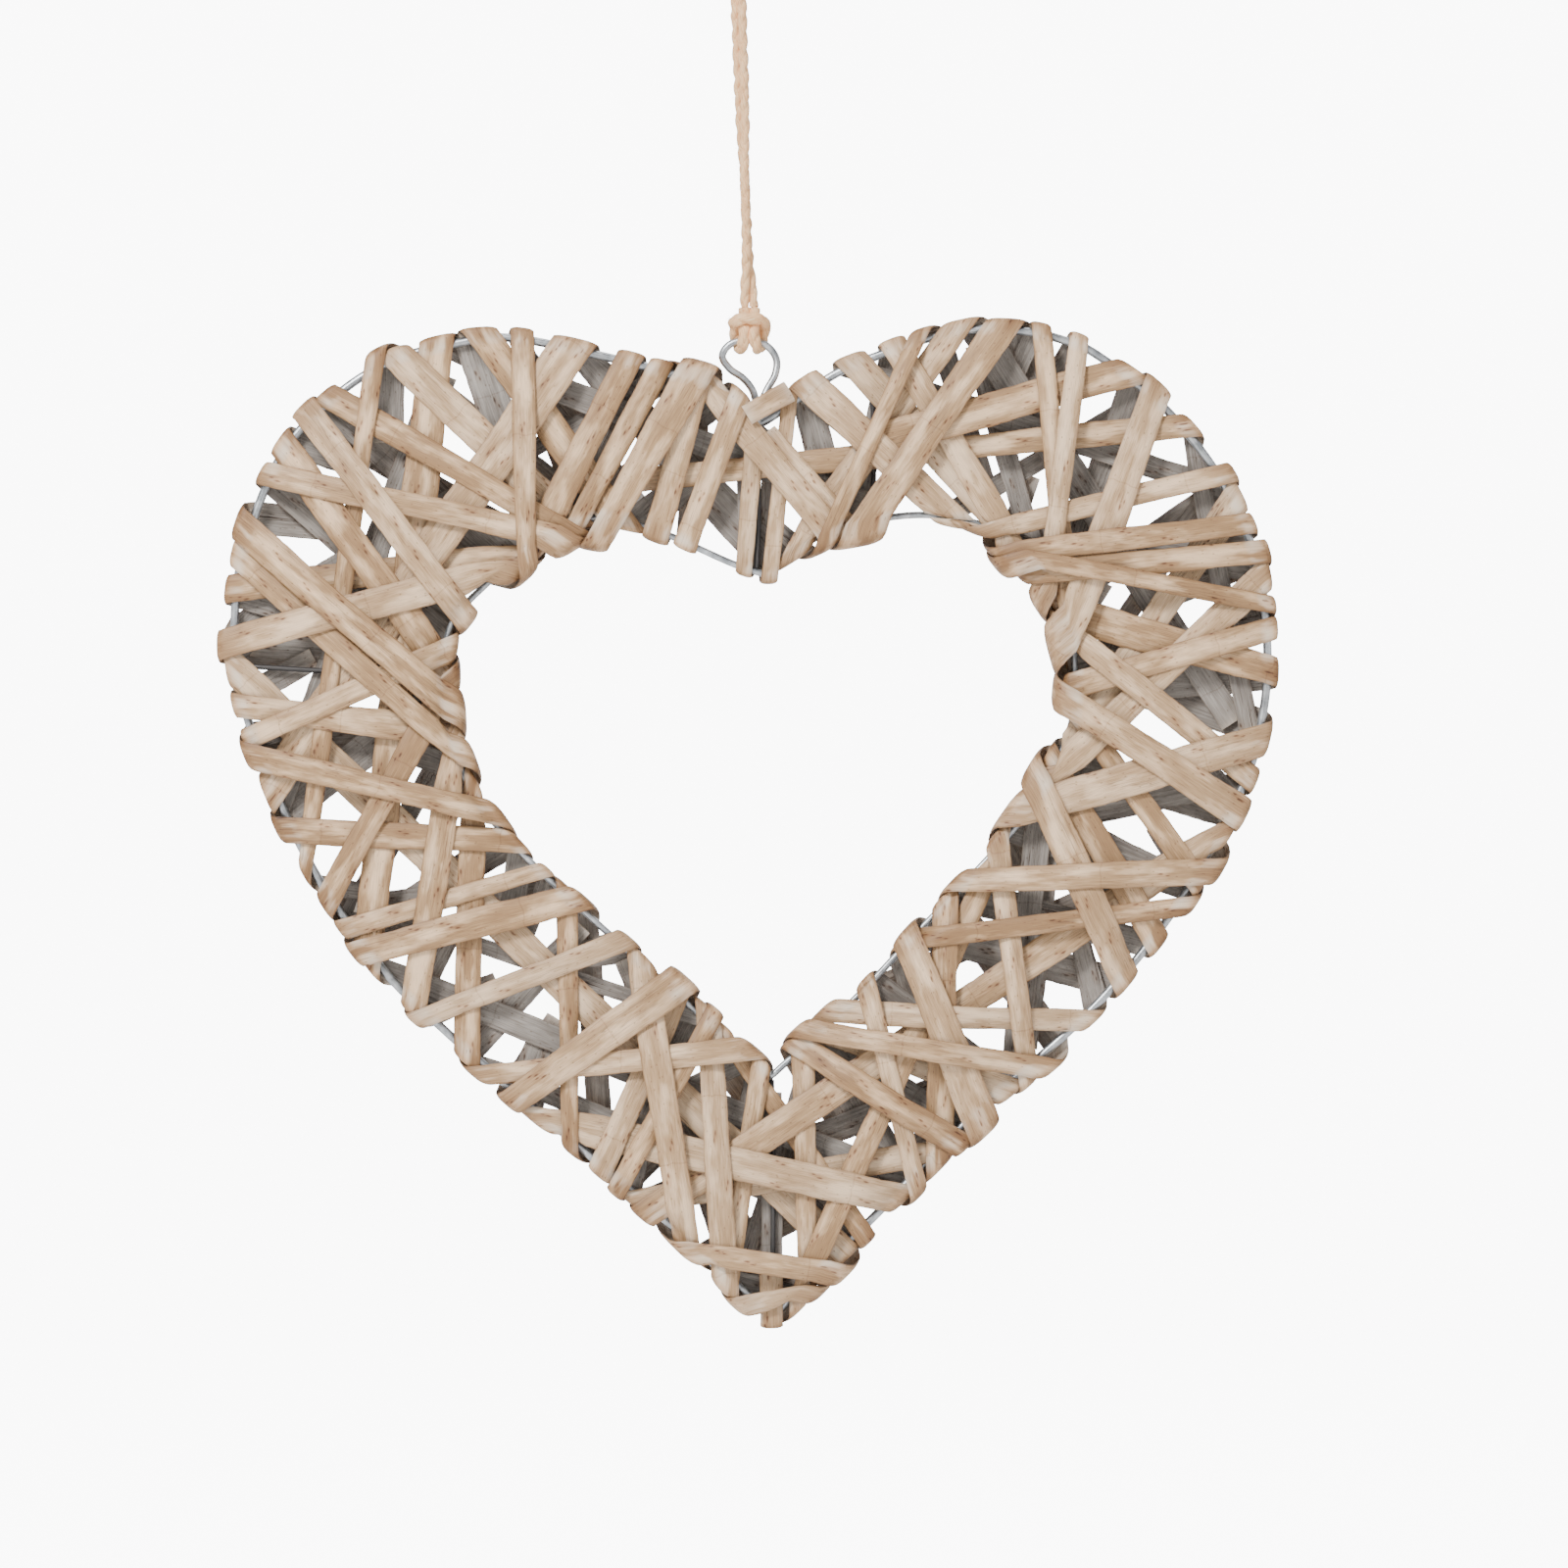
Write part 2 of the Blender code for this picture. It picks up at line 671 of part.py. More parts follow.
# The eye: a pear-shaped ring of wire threaded under the outer hoop at the cleft. Its points
# are millimetres right of, in front of (minus) or behind, and above the cleft's centreline.
EYE_POINTS = (
    (-3.0, 0.0, 32.2), (3.5, 0.0, 30.0), (7.2, -0.5, 25.0), (6.8, -1.5, 19.0), (3.6, -2.8, 13.0),
    (1.2, -3.7, 7.0), (0.0, -3.9, 1.5), (0.0, -2.7, -2.7), (0.0, 0.0, -4.1), (0.0, 2.7, -2.7),
    (0.0, 3.9, 1.5), (-0.3, 3.8, 7.5), (-1.7, 3.3, 13.2), (-5.3, 2.6, 17.8), (-10.3, 1.2, 21.3),
    (-13.2, 0.2, 26.0), (-10.0, 0.0, 30.6),
)
EYE_BOTTOM = -min(z for _, _, z in EYE_POINTS) / 1000 + EYE_WIRE / 2


def eye(finish):
    cleft = Stop("L0").point
    points = [(cleft[0] + x / 1000, y / 1000, cleft[1] + z / 1000) for x, y, z in EYE_POINTS]
    fine = even(smooth(points, closed=True), LINE_STEP)
    lay_wire(fine, EYE_WIRE / 2)
    line = smooth(points, closed=True, steps=2)
    rod("hanging_eye", line, EYE_WIRE / 2, finish, closed=True)


# The twine's lark's-head knot on the top of the eye, for the right half of one strand: from
# its cut at the top, in front of the eye, under and behind it, and forward again as the band
# that crosses both strands. Millimetres right of, behind and above the top of the eye.
KNOT_POINTS = (
    (1.7, 0.0, 11.8), (1.7, -0.1, 10.0), (1.7, -1.2, 7.0), (1.7, -2.4, 4.0), (1.7, -3.4, 1.0),
    (1.8, -2.8, -2.2), (2.6, 0.0, -3.7), (3.8, 2.8, -2.4), (4.6, 3.5, 1.0), (5.3, 2.6, 4.0),
    (6.2, 0.4, 6.3), (5.6, -2.8, 7.2), (3.0, -4.5, 7.3),
)
KNOT_CUT = 0.0118
EYE_FALL = 0.05  # how the eye's top falls away to each side, per millimetre squared
KNOT_BAND = 5.0  # height that the knot's band crosses above, clear of the eye


def eye_top():
    cleft = Stop("L0").point
    x, _, z = EYE_POINTS[0]
    return cleft[0] + x / 1000, cleft[1] + z / 1000


def knot(finish):
    top_x, top_z = eye_top()
    right = [(x, y, z - EYE_FALL * x * x * (z < KNOT_BAND)) for x, y, z in KNOT_POINTS]
    points = right + [(-x, y, z) for x, y, z in right[::-1]]
    points = [(top_x + x / 1000, y / 1000, top_z + z / 1000) for x, y, z in points]
    rod("twine_knot", points, TWINE / 2, finish)


# The twine: one cord, up from the knot, round the open loop and down again, its two strands
# turned round each other below the loop

STRAND_OFFSET = 0.0017  # from the middle of the pair to the middle of a strand
PARTING = -0.030  # height where the strands part into the loop
# How far the strands are turned round each other: share of the way down to the knot, degrees
TURNING = (
    (0.0, 150), (0.1, 136), (0.25, 130), (0.45, 122), (0.54, 98), (0.65, 90), (0.82, 80),
    (0.91, 58), (0.96, 18), (1.0, 0),
)
LOOP_BOTTOM = math.radians(-35)


def twine_route():
    """The cord's middle line from the knot's right strand to its left one."""
    top_x, top_z = eye_top()
    foot = top_z + KNOT_CUT + 2 * CLEARANCE
    rise = []
    for step in range(17):
        down = 1 - step / 16
        height = PARTING + (foot - PARTING) * down
        angle = math.radians(np.interp(down, *zip(*TURNING)))
        rise.append((top_x * down, height, STRAND_OFFSET * math.cos(angle), STRAND_OFFSET * math.sin(angle)))
    radius = LOOP_RADIUS + TWINE / 2
    arc = []
    for step in range(13):
        angle = LOOP_BOTTOM + (math.pi - 2 * LOOP_BOTTOM) * step / 12
        arc.append((-radius * math.cos(angle), 0, radius * math.sin(angle) - LOOP_RADIUS))
    up = [(x + across, depth, z) for x, z, across, depth in rise]
    down = [(x - across, -depth, z) for x, z, across, depth in rise[::-1]]
    return up + arc + down


def twine(finish):
    line = even(smooth(twine_route()), TWINE * 2.5)
    curve = bpy.data.curves.new("hanging_twine", "CURVE")
    curve.dimensions = "3D"
    curve.bevel_depth = TWINE / 2
    curve.bevel_resolution = 2
    curve.use_fill_caps = True
    spline = curve.splines.new("POLY")
    spline.points.add(len(line) - 1)
    for point, place_of in zip(spline.points, line):
        point.co = (*place_of, 1)
    add_object("hanging_twine", curve, finish)


def build():
    clear_scene()
    willow = material("split_willow", PALE_WILLOW, 0.7, 0.0)
    wire = material("galvanised_wire", GALVANISED, 0.35, 0.9)
    jute = material("jute", JUTE, 0.9, 0.0)
    hoops(wire)
    ties(wire)
    eye(wire)
    start_rims()
    weave(willow)
    knot(jute)
    twine(jute)


build()
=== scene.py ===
import math
from collections import namedtuple

import bpy
import numpy as np
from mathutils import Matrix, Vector


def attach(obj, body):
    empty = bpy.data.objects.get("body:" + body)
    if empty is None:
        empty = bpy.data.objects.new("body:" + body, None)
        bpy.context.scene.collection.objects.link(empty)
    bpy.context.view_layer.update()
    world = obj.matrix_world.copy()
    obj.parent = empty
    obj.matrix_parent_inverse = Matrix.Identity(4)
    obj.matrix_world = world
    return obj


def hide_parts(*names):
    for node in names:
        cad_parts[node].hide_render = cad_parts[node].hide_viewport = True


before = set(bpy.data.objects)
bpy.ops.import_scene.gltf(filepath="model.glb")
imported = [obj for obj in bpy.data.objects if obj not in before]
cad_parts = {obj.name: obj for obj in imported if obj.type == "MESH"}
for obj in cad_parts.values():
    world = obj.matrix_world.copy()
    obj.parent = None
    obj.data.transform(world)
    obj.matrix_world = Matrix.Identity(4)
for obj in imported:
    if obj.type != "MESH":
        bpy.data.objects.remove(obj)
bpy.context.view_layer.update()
# Blender's start-up file brings materials that nothing here uses
for old in [m for m in bpy.data.materials if m.users == 0]:
    bpy.data.materials.remove(old)


# ---------------------------------------------------------------- studio
# The heart hangs in front of a round white studio wall that runs down into a pale floor in one
# soft curve, so that it looks the same from every side.

FLOOR_LEVEL = -0.80
WALL_DISTANCE = 4.6
WALL_CURVE = 1.2
WALL_TOP = 3.2
CURVE_STEPS = 12
WALL_SIDES = 96
STUDIO_WHITE = 0.86
GLOW_ON_HEART, GLOW_IN_VIEW = 0.20, 9.0
CAMERA_PLACE = (0.0174, -2.5, -0.3315)
CAMERA_LENS = 151.875
LIGHTS_AIM = (0.0, 0.0, -0.33)


def add_object(name, data):
    made = bpy.data.objects.new(name, data)
    bpy.context.scene.collection.objects.link(made)
    return made


def set_inputs(node, **values):
    for label, value in values.items():
        node.inputs[label.replace("_", " ")].default_value = value


profile = [(0.0, FLOOR_LEVEL), (WALL_DISTANCE - WALL_CURVE, FLOOR_LEVEL)]
for step in range(1, CURVE_STEPS + 1):
    angle = math.pi / 2 * step / CURVE_STEPS
    profile.append((WALL_DISTANCE - WALL_CURVE + WALL_CURVE * math.sin(angle),
                    FLOOR_LEVEL + WALL_CURVE * (1 - math.cos(angle))))
profile.append((WALL_DISTANCE, WALL_TOP))
points = [(0.0, 0.0, FLOOR_LEVEL)]
faces = []
for k, (radius, height) in enumerate(profile[1:]):
    low, high = 1 + (k - 1) * WALL_SIDES, 1 + k * WALL_SIDES
    for n in range(WALL_SIDES):
        angle = 2 * math.pi * n / WALL_SIDES
        points.append((radius * math.cos(angle), radius * math.sin(angle), height))
        after = (n + 1) % WALL_SIDES
        faces.append((low + n, high + n, high + after, low + after) if k else (0, 1 + n, 1 + after))
studio_mesh = bpy.data.meshes.new("studio_wall")
studio_mesh.from_pydata(points, [], faces)
studio_mesh.shade_smooth()
studio = add_object("studio_wall", studio_mesh)
studio_white = bpy.data.materials.new("studio_white")
studio_white.use_nodes = True
paint = studio_white.node_tree.nodes["Principled BSDF"]
set_inputs(paint, Base_Color=(STUDIO_WHITE, STUDIO_WHITE, STUDIO_WHITE, 1), Roughness=0.9,
           Specular_IOR_Level=0.0, Emission_Color=(1.0, 1.0, 1.0, 1))
seen = studio_white.node_tree.nodes.new("ShaderNodeLightPath").outputs["Is Camera Ray"]
glow = studio_white.node_tree.nodes.new("ShaderNodeMapRange")
set_inputs(glow, To_Min=GLOW_ON_HEART, To_Max=GLOW_IN_VIEW)
studio_white.node_tree.links.new(seen, glow.inputs["Value"])
studio_white.node_tree.links.new(glow.outputs[0], paint.inputs["Emission Strength"])
studio_mesh.materials.append(studio_white)

world = bpy.data.worlds.new("studio_air")
world.use_nodes = True
set_inputs(world.node_tree.nodes["Background"], Color=(1.0, 1.0, 1.0, 1), Strength=0.3)
bpy.context.scene.world = world


def soft_box(name, place, size, power):
    light = bpy.data.lights.new(name, "AREA")
    light.shape = "SQUARE"
    light.size = size
    light.energy = power
    made = add_object(name, light)
    made.location = place
    made.rotation_euler = (Vector(LIGHTS_AIM) - Vector(place)).to_track_quat("-Z", "Y").to_euler()


soft_box("key_light", (-1.1, -1.9, 1.3), 0.6, 84)
soft_box("fill_light", (1.9, -1.6, 0.1), 1.4, 5)
soft_box("top_light", (0.2, 0.3, 2.0), 1.0, 16)
soft_box("back_light", (0.6, 2.2, 0.7), 1.2, 12)

camera_data = bpy.data.cameras.new("camera")
camera_data.lens = CAMERA_LENS
camera_data.sensor_width = 36
camera = add_object("camera", camera_data)
camera.location = CAMERA_PLACE
camera.rotation_euler = (math.pi / 2, 0, 0)
bpy.context.scene.camera = camera


# ---------------------------------------------------------------- hanging twine
# A doubled two-ply jute twine of about 3 mm: up from its knot, round an open loop at the top and
# down again, its two strands turned half round each other. It is spun from loose dry fibre, so
# each ply is uneven and a few fibres stand off it.

TWINE = 0.0030
PLY_TURN = 0.013  # length of twine in which the plies turn once round each other
PLY_STEP = 0.0006
PLY_RADIUS, PLY_OFFSET = 0.48, 0.16  # shares of the twine's thickness
PLY_UNEVEN = (0.86, 1.14)  # how thin and how thick a ply gets
UNEVEN_PER_METRE = 160.0
FIBRE_DENSITY = 260000.0  # loose fibres to a square metre of twine
FIBRE_LENGTH = 0.0017
LOOP_RADIUS = 0.0085
LOOP_BOTTOM = math.radians(-35)
STRAND_OFFSET = 0.0017
STRAND_STEPS, LOOP_STEPS = 16, 12
PARTING = -0.030  # height at which the two strands part for the loop
# How far the strands are turned round each other: share of the way down to the knot, degrees
TURNING = ((0.0, 150), (0.1, 136), (0.25, 130), (0.45, 122), (0.54, 98), (0.65, 90), (0.82, 80),
           (0.91, 58), (0.96, 18), (1.0, 0))
EYE_TOP = (0.004263, -0.163623)  # x and z of the top of the wire eye's centreline
KNOT_CUT = 0.0118  # how far above the eye's top the knot's own twine begins
CLEARANCE = 0.0003


def smooth(points, closed=False, steps=24):
    """A smooth line through all the points."""
    p = np.array(points, float)
    if closed:
        p = np.vstack([p[-1], p, p[0], p[1]])
    else:
        p = np.vstack([2 * p[0] - p[1], p, 2 * p[-1] - p[-2]])
    line = []
    for i in range(1, len(p) - 2):
        a, b, c, d = p[i - 1], p[i], p[i + 1], p[i + 2]
        for k in range(steps):
            t = k / steps
            line.append(0.5 * (2 * b + (c - a) * t + (2 * a - 5 * b + 4 * c - d) * t**2
                               + (3 * b - a - 3 * c + d) * t**3))
    if not closed:
        line.append(p[-2])
    return np.array(line)


def even(line, step):
    """The same line with its points about one step apart."""
    run = np.concatenate([[0], np.cumsum(np.linalg.norm(np.diff(line, axis=0), axis=1))])
    count = max(2, int(round(run[-1] / step)) + 1)
    at = np.linspace(0, run[-1], count)
    return np.column_stack([np.interp(at, run, line[:, k]) for k in range(line.shape[1])])


def twine_route():
    """The cord's middle line from the knot's right strand to its left one."""
    foot = EYE_TOP[1] + KNOT_CUT + 2 * CLEARANCE
    rise = []
    for step in range(STRAND_STEPS + 1):
        down = 1 - step / STRAND_STEPS
        height = PARTING + (foot - PARTING) * down
        angle = math.radians(np.interp(down, *zip(*TURNING)))
        rise.append((EYE_TOP[0] * down, height,
                     STRAND_OFFSET * math.cos(angle), STRAND_OFFSET * math.sin(angle)))
    radius = LOOP_RADIUS + TWINE / 2
    arc = []
    for step in range(LOOP_STEPS + 1):
        angle = LOOP_BOTTOM + (math.pi - 2 * LOOP_BOTTOM) * step / LOOP_STEPS
        arc.append((-radius * math.cos(angle), 0, radius * math.sin(angle) - LOOP_RADIUS))
    up = [(x + across, depth, z) for x, z, across, depth in rise]
    down = [(x - across, -depth, z) for x, z, across, depth in rise[::-1]]
    return up + arc + down


def add_node(tree, kind, settings=None, **inputs):
    """A node with its properties, and its inputs set or linked by socket name or place."""
    node = tree.nodes.new(kind)
    for key, value in (settings or {}).items():
        setattr(node, key, value)
    for key, value in inputs.items():
        socket = node.inputs[int(key[3:]) if key.startswith("at_") else key.replace("_", " ")]
        if isinstance(value, bpy.types.NodeSocket):
            tree.links.new(value, socket)
        else:
            socket.default_value = value
    return node


def math_node(tree, operation, *values, kind="ShaderNodeMath", **more):
    more.update(("at_%d" % k, v) for k, v in enumerate(values))
    return add_node(tree, kind, {"operation": operation}, **more).outputs[0]


def vector_node(tree, operation, *values, **more):
    return math_node(tree, operation, *values, kind="ShaderNodeVectorMath", **more)


def times(tree, a, b):
    return math_node(tree, "MULTIPLY", a, b)


def plus(tree, *parts):
    total = parts[0]
    for part in parts[1:]:
        total = math_node(tree, "ADD", total, part)
    return total


def fade(tree, value, low, high, at_low=0.0, at_high=1.0):
    """A value mapped straight from one range to another, and held at its ends."""
    return add_node(tree, "ShaderNodeMapRange", Value=value, From_Min=low, From_Max=high,
                    To_Min=at_low, To_Max=at_high).outputs[0]


def new_tree(name, sockets):
    """A Geometry Nodes tree with a geometry going in and out, and the named inputs."""
    tree = bpy.data.node_groups.new(name, "GeometryNodeTree")
    tree.interface.new_socket("Geometry", in_out="INPUT", socket_type="NodeSocketGeometry")
    for label, kind in sockets:
        tree.interface.new_socket(label, in_out="INPUT", socket_type="NodeSocket" + kind)
    tree.interface.new_socket("Geometry", in_out="OUTPUT", socket_type="NodeSocketGeometry")
    return tree, tree.nodes.new("NodeGroupInput").outputs, tree.nodes.new("NodeGroupOutput").inputs


def grow(source, tree, values, name):
    """The plain mesh that the tree makes of an object."""
    made = source.modifiers.new("growth", "NODES")
    made.node_group = tree
    identifiers = {item.name: item.identifier for item in tree.interface.items_tree
                   if item.item_type == "SOCKET" and item.in_out == "INPUT"}
    for label, value in values.items():
        made[identifiers[label]] = value
    evaluated = source.evaluated_get(bpy.context.evaluated_depsgraph_get())
    mesh = bpy.data.meshes.new_from_object(evaluated)
    mesh.name = name
    source.modifiers.remove(made)
    bpy.data.objects.remove(source, do_unlink=True)
    return add_object(name, mesh)


def path_object(name, line, closed=False):
    curve = bpy.data.curves.new(name, "CURVE")
    curve.dimensions = "3D"
    spline = curve.splines.new("POLY")
    spline.points.add(len(line) - 1)
    for point, place_of in zip(spline.points, line):
        point.co = (*place_of, 1)
    spline.use_cyclic_u = closed
    return add_object(name, curve)


def spun_twine_tree():
    """Two plies round a path, each an uneven tube, with loose fibres standing off them."""
    tree, given, result = new_tree("spun_twine", [
        ("Ply Radius", "Float"), ("Ply Offset", "Float"), ("Ply Turn", "Float"),
        ("Fibre Density", "Float"), ("Fibre Length", "Float"), ("Seed", "Int"),
        ("Twine Finish", "Material")])

    def node(kind, settings=None, **inputs):
        return add_node(tree, "GeometryNode" + kind, settings, **inputs).outputs[0]

    def stored(geometry, name, value):
        return node("StoreNamedAttribute", {"data_type": "FLOAT", "domain": "POINT"},
                    Geometry=geometry, Name=name, Value=value)

    def circle(resolution, radius):
        return node("CurvePrimitiveCircle", {"mode": "RADIUS"},
                    Resolution=resolution, Radius=radius)

    path = node("ResampleCurve", {"mode": "LENGTH"}, Curve=given["Geometry"], Length=PLY_STEP)
    run = tree.nodes.new("GeometryNodeSplineParameter").outputs["Length"]
    normal = node("InputNormal")
    other = vector_node(tree, "CROSS_PRODUCT", node("InputTangent"), normal)
    both = tree.nodes.new("GeometryNodeJoinGeometry")
    for ply in range(2):
        turned = times(tree, math_node(tree, "DIVIDE", run, given["Ply Turn"]), 2 * math.pi)
        turned = plus(tree, turned, math.pi * ply)
        out = vector_node(tree, "SCALE", normal, Scale=math_node(tree, "COSINE", turned))
        side = vector_node(tree, "SCALE", other, Scale=math_node(tree, "SINE", turned))
        offset = vector_node(tree, "SCALE", vector_node(tree, "ADD", out, side),
                             Scale=given["Ply Offset"])
        moved = node("SetPosition", Geometry=path, Offset=offset)
        # Each ply has its own stretch of the fibres' and the unevenness's patterns
        moved = stored(moved, "ply_along", plus(tree, run, ply * 0.7))
        uneven = add_node(tree, "ShaderNodeTexNoise", {"noise_dimensions": "1D"},
                          W=plus(tree, times(tree, run, UNEVEN_PER_METRE), ply * 31.0),
                          Detail=2.0, Scale=1.0).outputs[0]
        ring_run = tree.nodes.new("GeometryNodeSplineParameter").outputs["Factor"]
        ring = stored(circle(10, given["Ply Radius"]), "ply_around", ring_run)
        tube = node("CurveToMesh", Curve=moved, Profile_Curve=ring,
                    Scale=fade(tree, uneven, 0.3, 0.7, *PLY_UNEVEN), Fill_Caps=True)
        tree.links.new(tube, both.inputs[0])
    both = node("SetShadeSmooth", Geometry=both.outputs[0])

    # Loose fibres: one bowed hair, set at random over both plies
    scatter = add_node(tree, "GeometryNodeDistributePointsOnFaces", {"distribute_method": "RANDOM"},
                       Mesh=both, Density=given["Fibre Density"], Seed=given["Seed"]).outputs
    bow = node("CurveQuadraticBezier", Resolution=4, Start=(0, 0, 0), Middle=(0.10, 0.0, 0.42),
               End=(0.62, 0.12, 0.62))
    hair = node("CurveToMesh", Curve=bow, Profile_Curve=circle(3, 0.022))
    spin = add_node(tree, "FunctionNodeRandomValue", {"data_type": "FLOAT_VECTOR"},
                    at_0=(-0.5, -0.5, -3.14), at_1=(0.5, 0.5, 3.14)).outputs[0]
    spun = add_node(tree, "FunctionNodeRotateRotation", {"rotation_space": "LOCAL"},
                    Rotation=scatter["Rotation"], Rotate_By=spin).outputs[0]
    size = add_node(tree, "FunctionNodeRandomValue", {"data_type": "FLOAT"},
                    at_2=0.35, at_3=1.0).outputs[1]
    hairs = node("InstanceOnPoints", Points=scatter["Points"], Instance=hair, Rotation=spun,
                 Scale=times(tree, size, given["Fibre Length"]))
    joined = tree.nodes.new("GeometryNodeJoinGeometry")
    for part in (both, hairs):
        tree.links.new(part, joined.inputs[0])
    real = node("RealizeInstances", Geometry=joined.outputs[0])
    done = node("SetMaterial", Geometry=real, Material=given["Twine Finish"])
    tree.links.new(done, result["Geometry"])
    return tree


def new_material(name):
    made = bpy.data.materials.new(name)
    made.use_nodes = True
    return made, made.node_tree, made.node_tree.nodes["Principled BSDF"]


def ramp(tree, value, *stops):
    """A colour ramp between the (place, colour) stops."""
    node = tree.nodes.new("ShaderNodeValToRGB")
    tree.links.new(value, node.inputs[0])
    while len(node.color_ramp.elements) < len(stops):
        node.color_ramp.elements.new(0.5)
    for element, (at, colour) in zip(node.color_ramp.elements, stops):
        element.position = at
        element.color = (*colour, 1)
    return node.outputs[0]


def mix_colour(tree, blend, amount, first, second):
    first, second = (v if isinstance(v, bpy.types.NodeSocket) else (*v, 1) for v in (first, second))
    return add_node(tree, "ShaderNodeMix", {"data_type": "RGBA", "blend_type": blend},
                    at_0=amount, at_6=first, at_7=second).outputs[2]


def attribute(tree, name):
    return add_node(tree, "ShaderNodeAttribute", {"attribute_name": name}).outputs["Fac"]


def combine(tree, x, y, z=0.0):
    return add_node(tree, "ShaderNodeCombineXYZ", X=x, Y=y, Z=z).outputs[0]


def noise(tree, vector, scale, detail=3.0, roughness=0.5):
    return add_node(tree, "ShaderNodeTexNoise", Vector=vector, Scale=scale, Detail=detail,
                    Roughness=roughness).outputs[0]


def finish(tree, shader, colour, height, strength, distance):
    """Links the colour to the shader, and the height as its relief."""
    tree.links.new(colour, shader.inputs["Base Color"])
    bump = add_node(tree, "ShaderNodeBump", Strength=strength, Distance=distance, Height=height)
    tree.links.new(bump.outputs[0], shader.inputs["Normal"])


def jute_material():
    made, tree, shader = new_material("spun_jute")
    along, around = attribute(tree, "ply_along"), attribute(tree, "ply_around")
    # The fibres lie along the ply and slant round it
    slant = plus(tree, around, times(tree, along, 55.0))
    fibre_map = combine(tree, times(tree, along, 120.0), times(tree, slant, 9.0))
    fibres = noise(tree, fibre_map, 2.2, 4.0, 0.6)
    patches = noise(tree, add_node(tree, "ShaderNodeTexCoord").outputs["Object"], 90.0, 3.0)
    tone = ramp(tree, fibres, (0.28, (0.56, 0.29, 0.13)), (0.5, (0.98, 0.60, 0.32)),
                (0.72, (1.0, 0.80, 0.50)))
    tone = mix_colour(tree, "MULTIPLY", 0.5, tone,
                      ramp(tree, patches, (0.35, (0.90, 0.82, 0.74)), (0.65, (1.0, 1.0, 1.0))))
    finish(tree, shader, tone, fibres, 0.55, 0.0003)
    set_inputs(shader, Roughness=0.85, Specular_IOR_Level=0.25)
    return made


spun_jute = jute_material()
spun_tree = spun_twine_tree()
twine_line = even(smooth(twine_route()), TWINE)
twine_size = {"Ply Radius": TWINE * PLY_RADIUS, "Ply Offset": TWINE * PLY_OFFSET,
              "Ply Turn": PLY_TURN, "Fibre Density": FIBRE_DENSITY, "Fibre Length": FIBRE_LENGTH,
              "Seed": 4, "Twine Finish": spun_jute}
twine = grow(path_object("twine_path", even(twine_line, 0.0015)), spun_tree, twine_size,
             "jute_twine")
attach(twine, "root")
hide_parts("hanging_twine")


# ---------------------------------------------------------------- twine knot
# The same twine in a lark's-head knot on the top of the wire eye: both strands come down in front
# of the eye, pass under and behind it, and come forward as the band that crosses them.

KNOT_POINTS = (
    (1.7, 0.0, 11.8), (1.7, -0.1, 10.0), (1.7, -1.2, 7.0), (1.7, -2.4, 4.0), (1.9, -3.2, 1.0),
    (2.3, -2.5, -1.6), (3.0, 0.0, -2.8), (4.1, 2.6, -1.8), (4.8, 3.4, 1.0), (5.4, 2.6, 4.0),
    (5.9, 0.4, 6.0), (5.2, -2.6, 6.8), (3.0, -4.4, 7.6),
)
EYE_FALL = 0.05  # how fast the eye's top falls away to each side of its middle
KNOT_BAND = 5.0  # height from which the knot's bends lie clear of the eye
KNOT_SWELL = {"Ply Radius": 0.0018, "Ply Offset": 0.0006}  # drawn tight, the loose twine spreads

right_strand = [(x, y, z - EYE_FALL * x * x * (z < KNOT_BAND)) for x, y, z in KNOT_POINTS]
knot_points = right_strand + [(-x, y, z) for x, y, z in right_strand[::-1]]
knot_line = even(smooth([(EYE_TOP[0] + x / 1000, y / 1000, EYE_TOP[1] + z / 1000)
                         for x, y, z in knot_points]), 0.001)
knot = grow(path_object("knot_path", knot_line), spun_tree,
            dict(twine_size, Seed=9, **KNOT_SWELL), "jute_knot")
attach(knot, "root")
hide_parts("twine_knot")


# ---------------------------------------------------------------- the two wire hearts
# Galvanised iron wire, 3.3 mm for the outer heart and 2.6 mm for the inner one, bent by hand into
# two closed hoops. Every strip of the willow is wound round both.

HEART_WIDTH = 0.391
HEART_DROP = 0.3315  # from the peg down to the height that the points count from
HEART_SHIFT = 0.010
OUTER_WIRE = 0.0033
INNER_WIRE = 0.0026
LINE_STEP = 0.001
END_ROUND = 0.12  # length of a wire's rounded end, as a share of its thickness
END_NARROW = 0.55
# The hoops' halves from cleft to tip, in hundredths of the heart's width
OUTER_LEFT = (
    (-0.7, 34.7), (-2.2, 36.5), (-4.3, 38.2), (-7.6, 39.3), (-15.4, 41.3), (-24.3, 43.1),
    (-29.8, 42.6), (-36.7, 40.6), (-42.6, 36.5), (-47.0, 31.2), (-50.4, 22.3), (-51.2, 15.0),
    (-50.4, 8.0), (-47.6, 0.0), (-43.0, -9.3), (-36.8, -18.0), (-30.8, -23.9), (-22.2, -31.4),
    (-12.8, -39.3), (-6.7, -44.7), (0.7, -51.5),
)
OUTER_RIGHT = (
    (-0.7, 34.7), (0.9, 35.6), (6.8, 39.6), (11.5, 41.6), (15.6, 43.0), (19.9, 43.9), (24.8, 43.8),
    (28.9, 42.9), (32.4, 41.3), (39.0, 36.0), (44.5, 28.8), (47.6, 21.2), (48.6, 13.5), (48.2, 6.9),
    (46.3, 0.0), (40.3, -11.1), (31.9, -21.5), (19.9, -32.3), (10.4, -42.0), (0.7, -51.5),
)
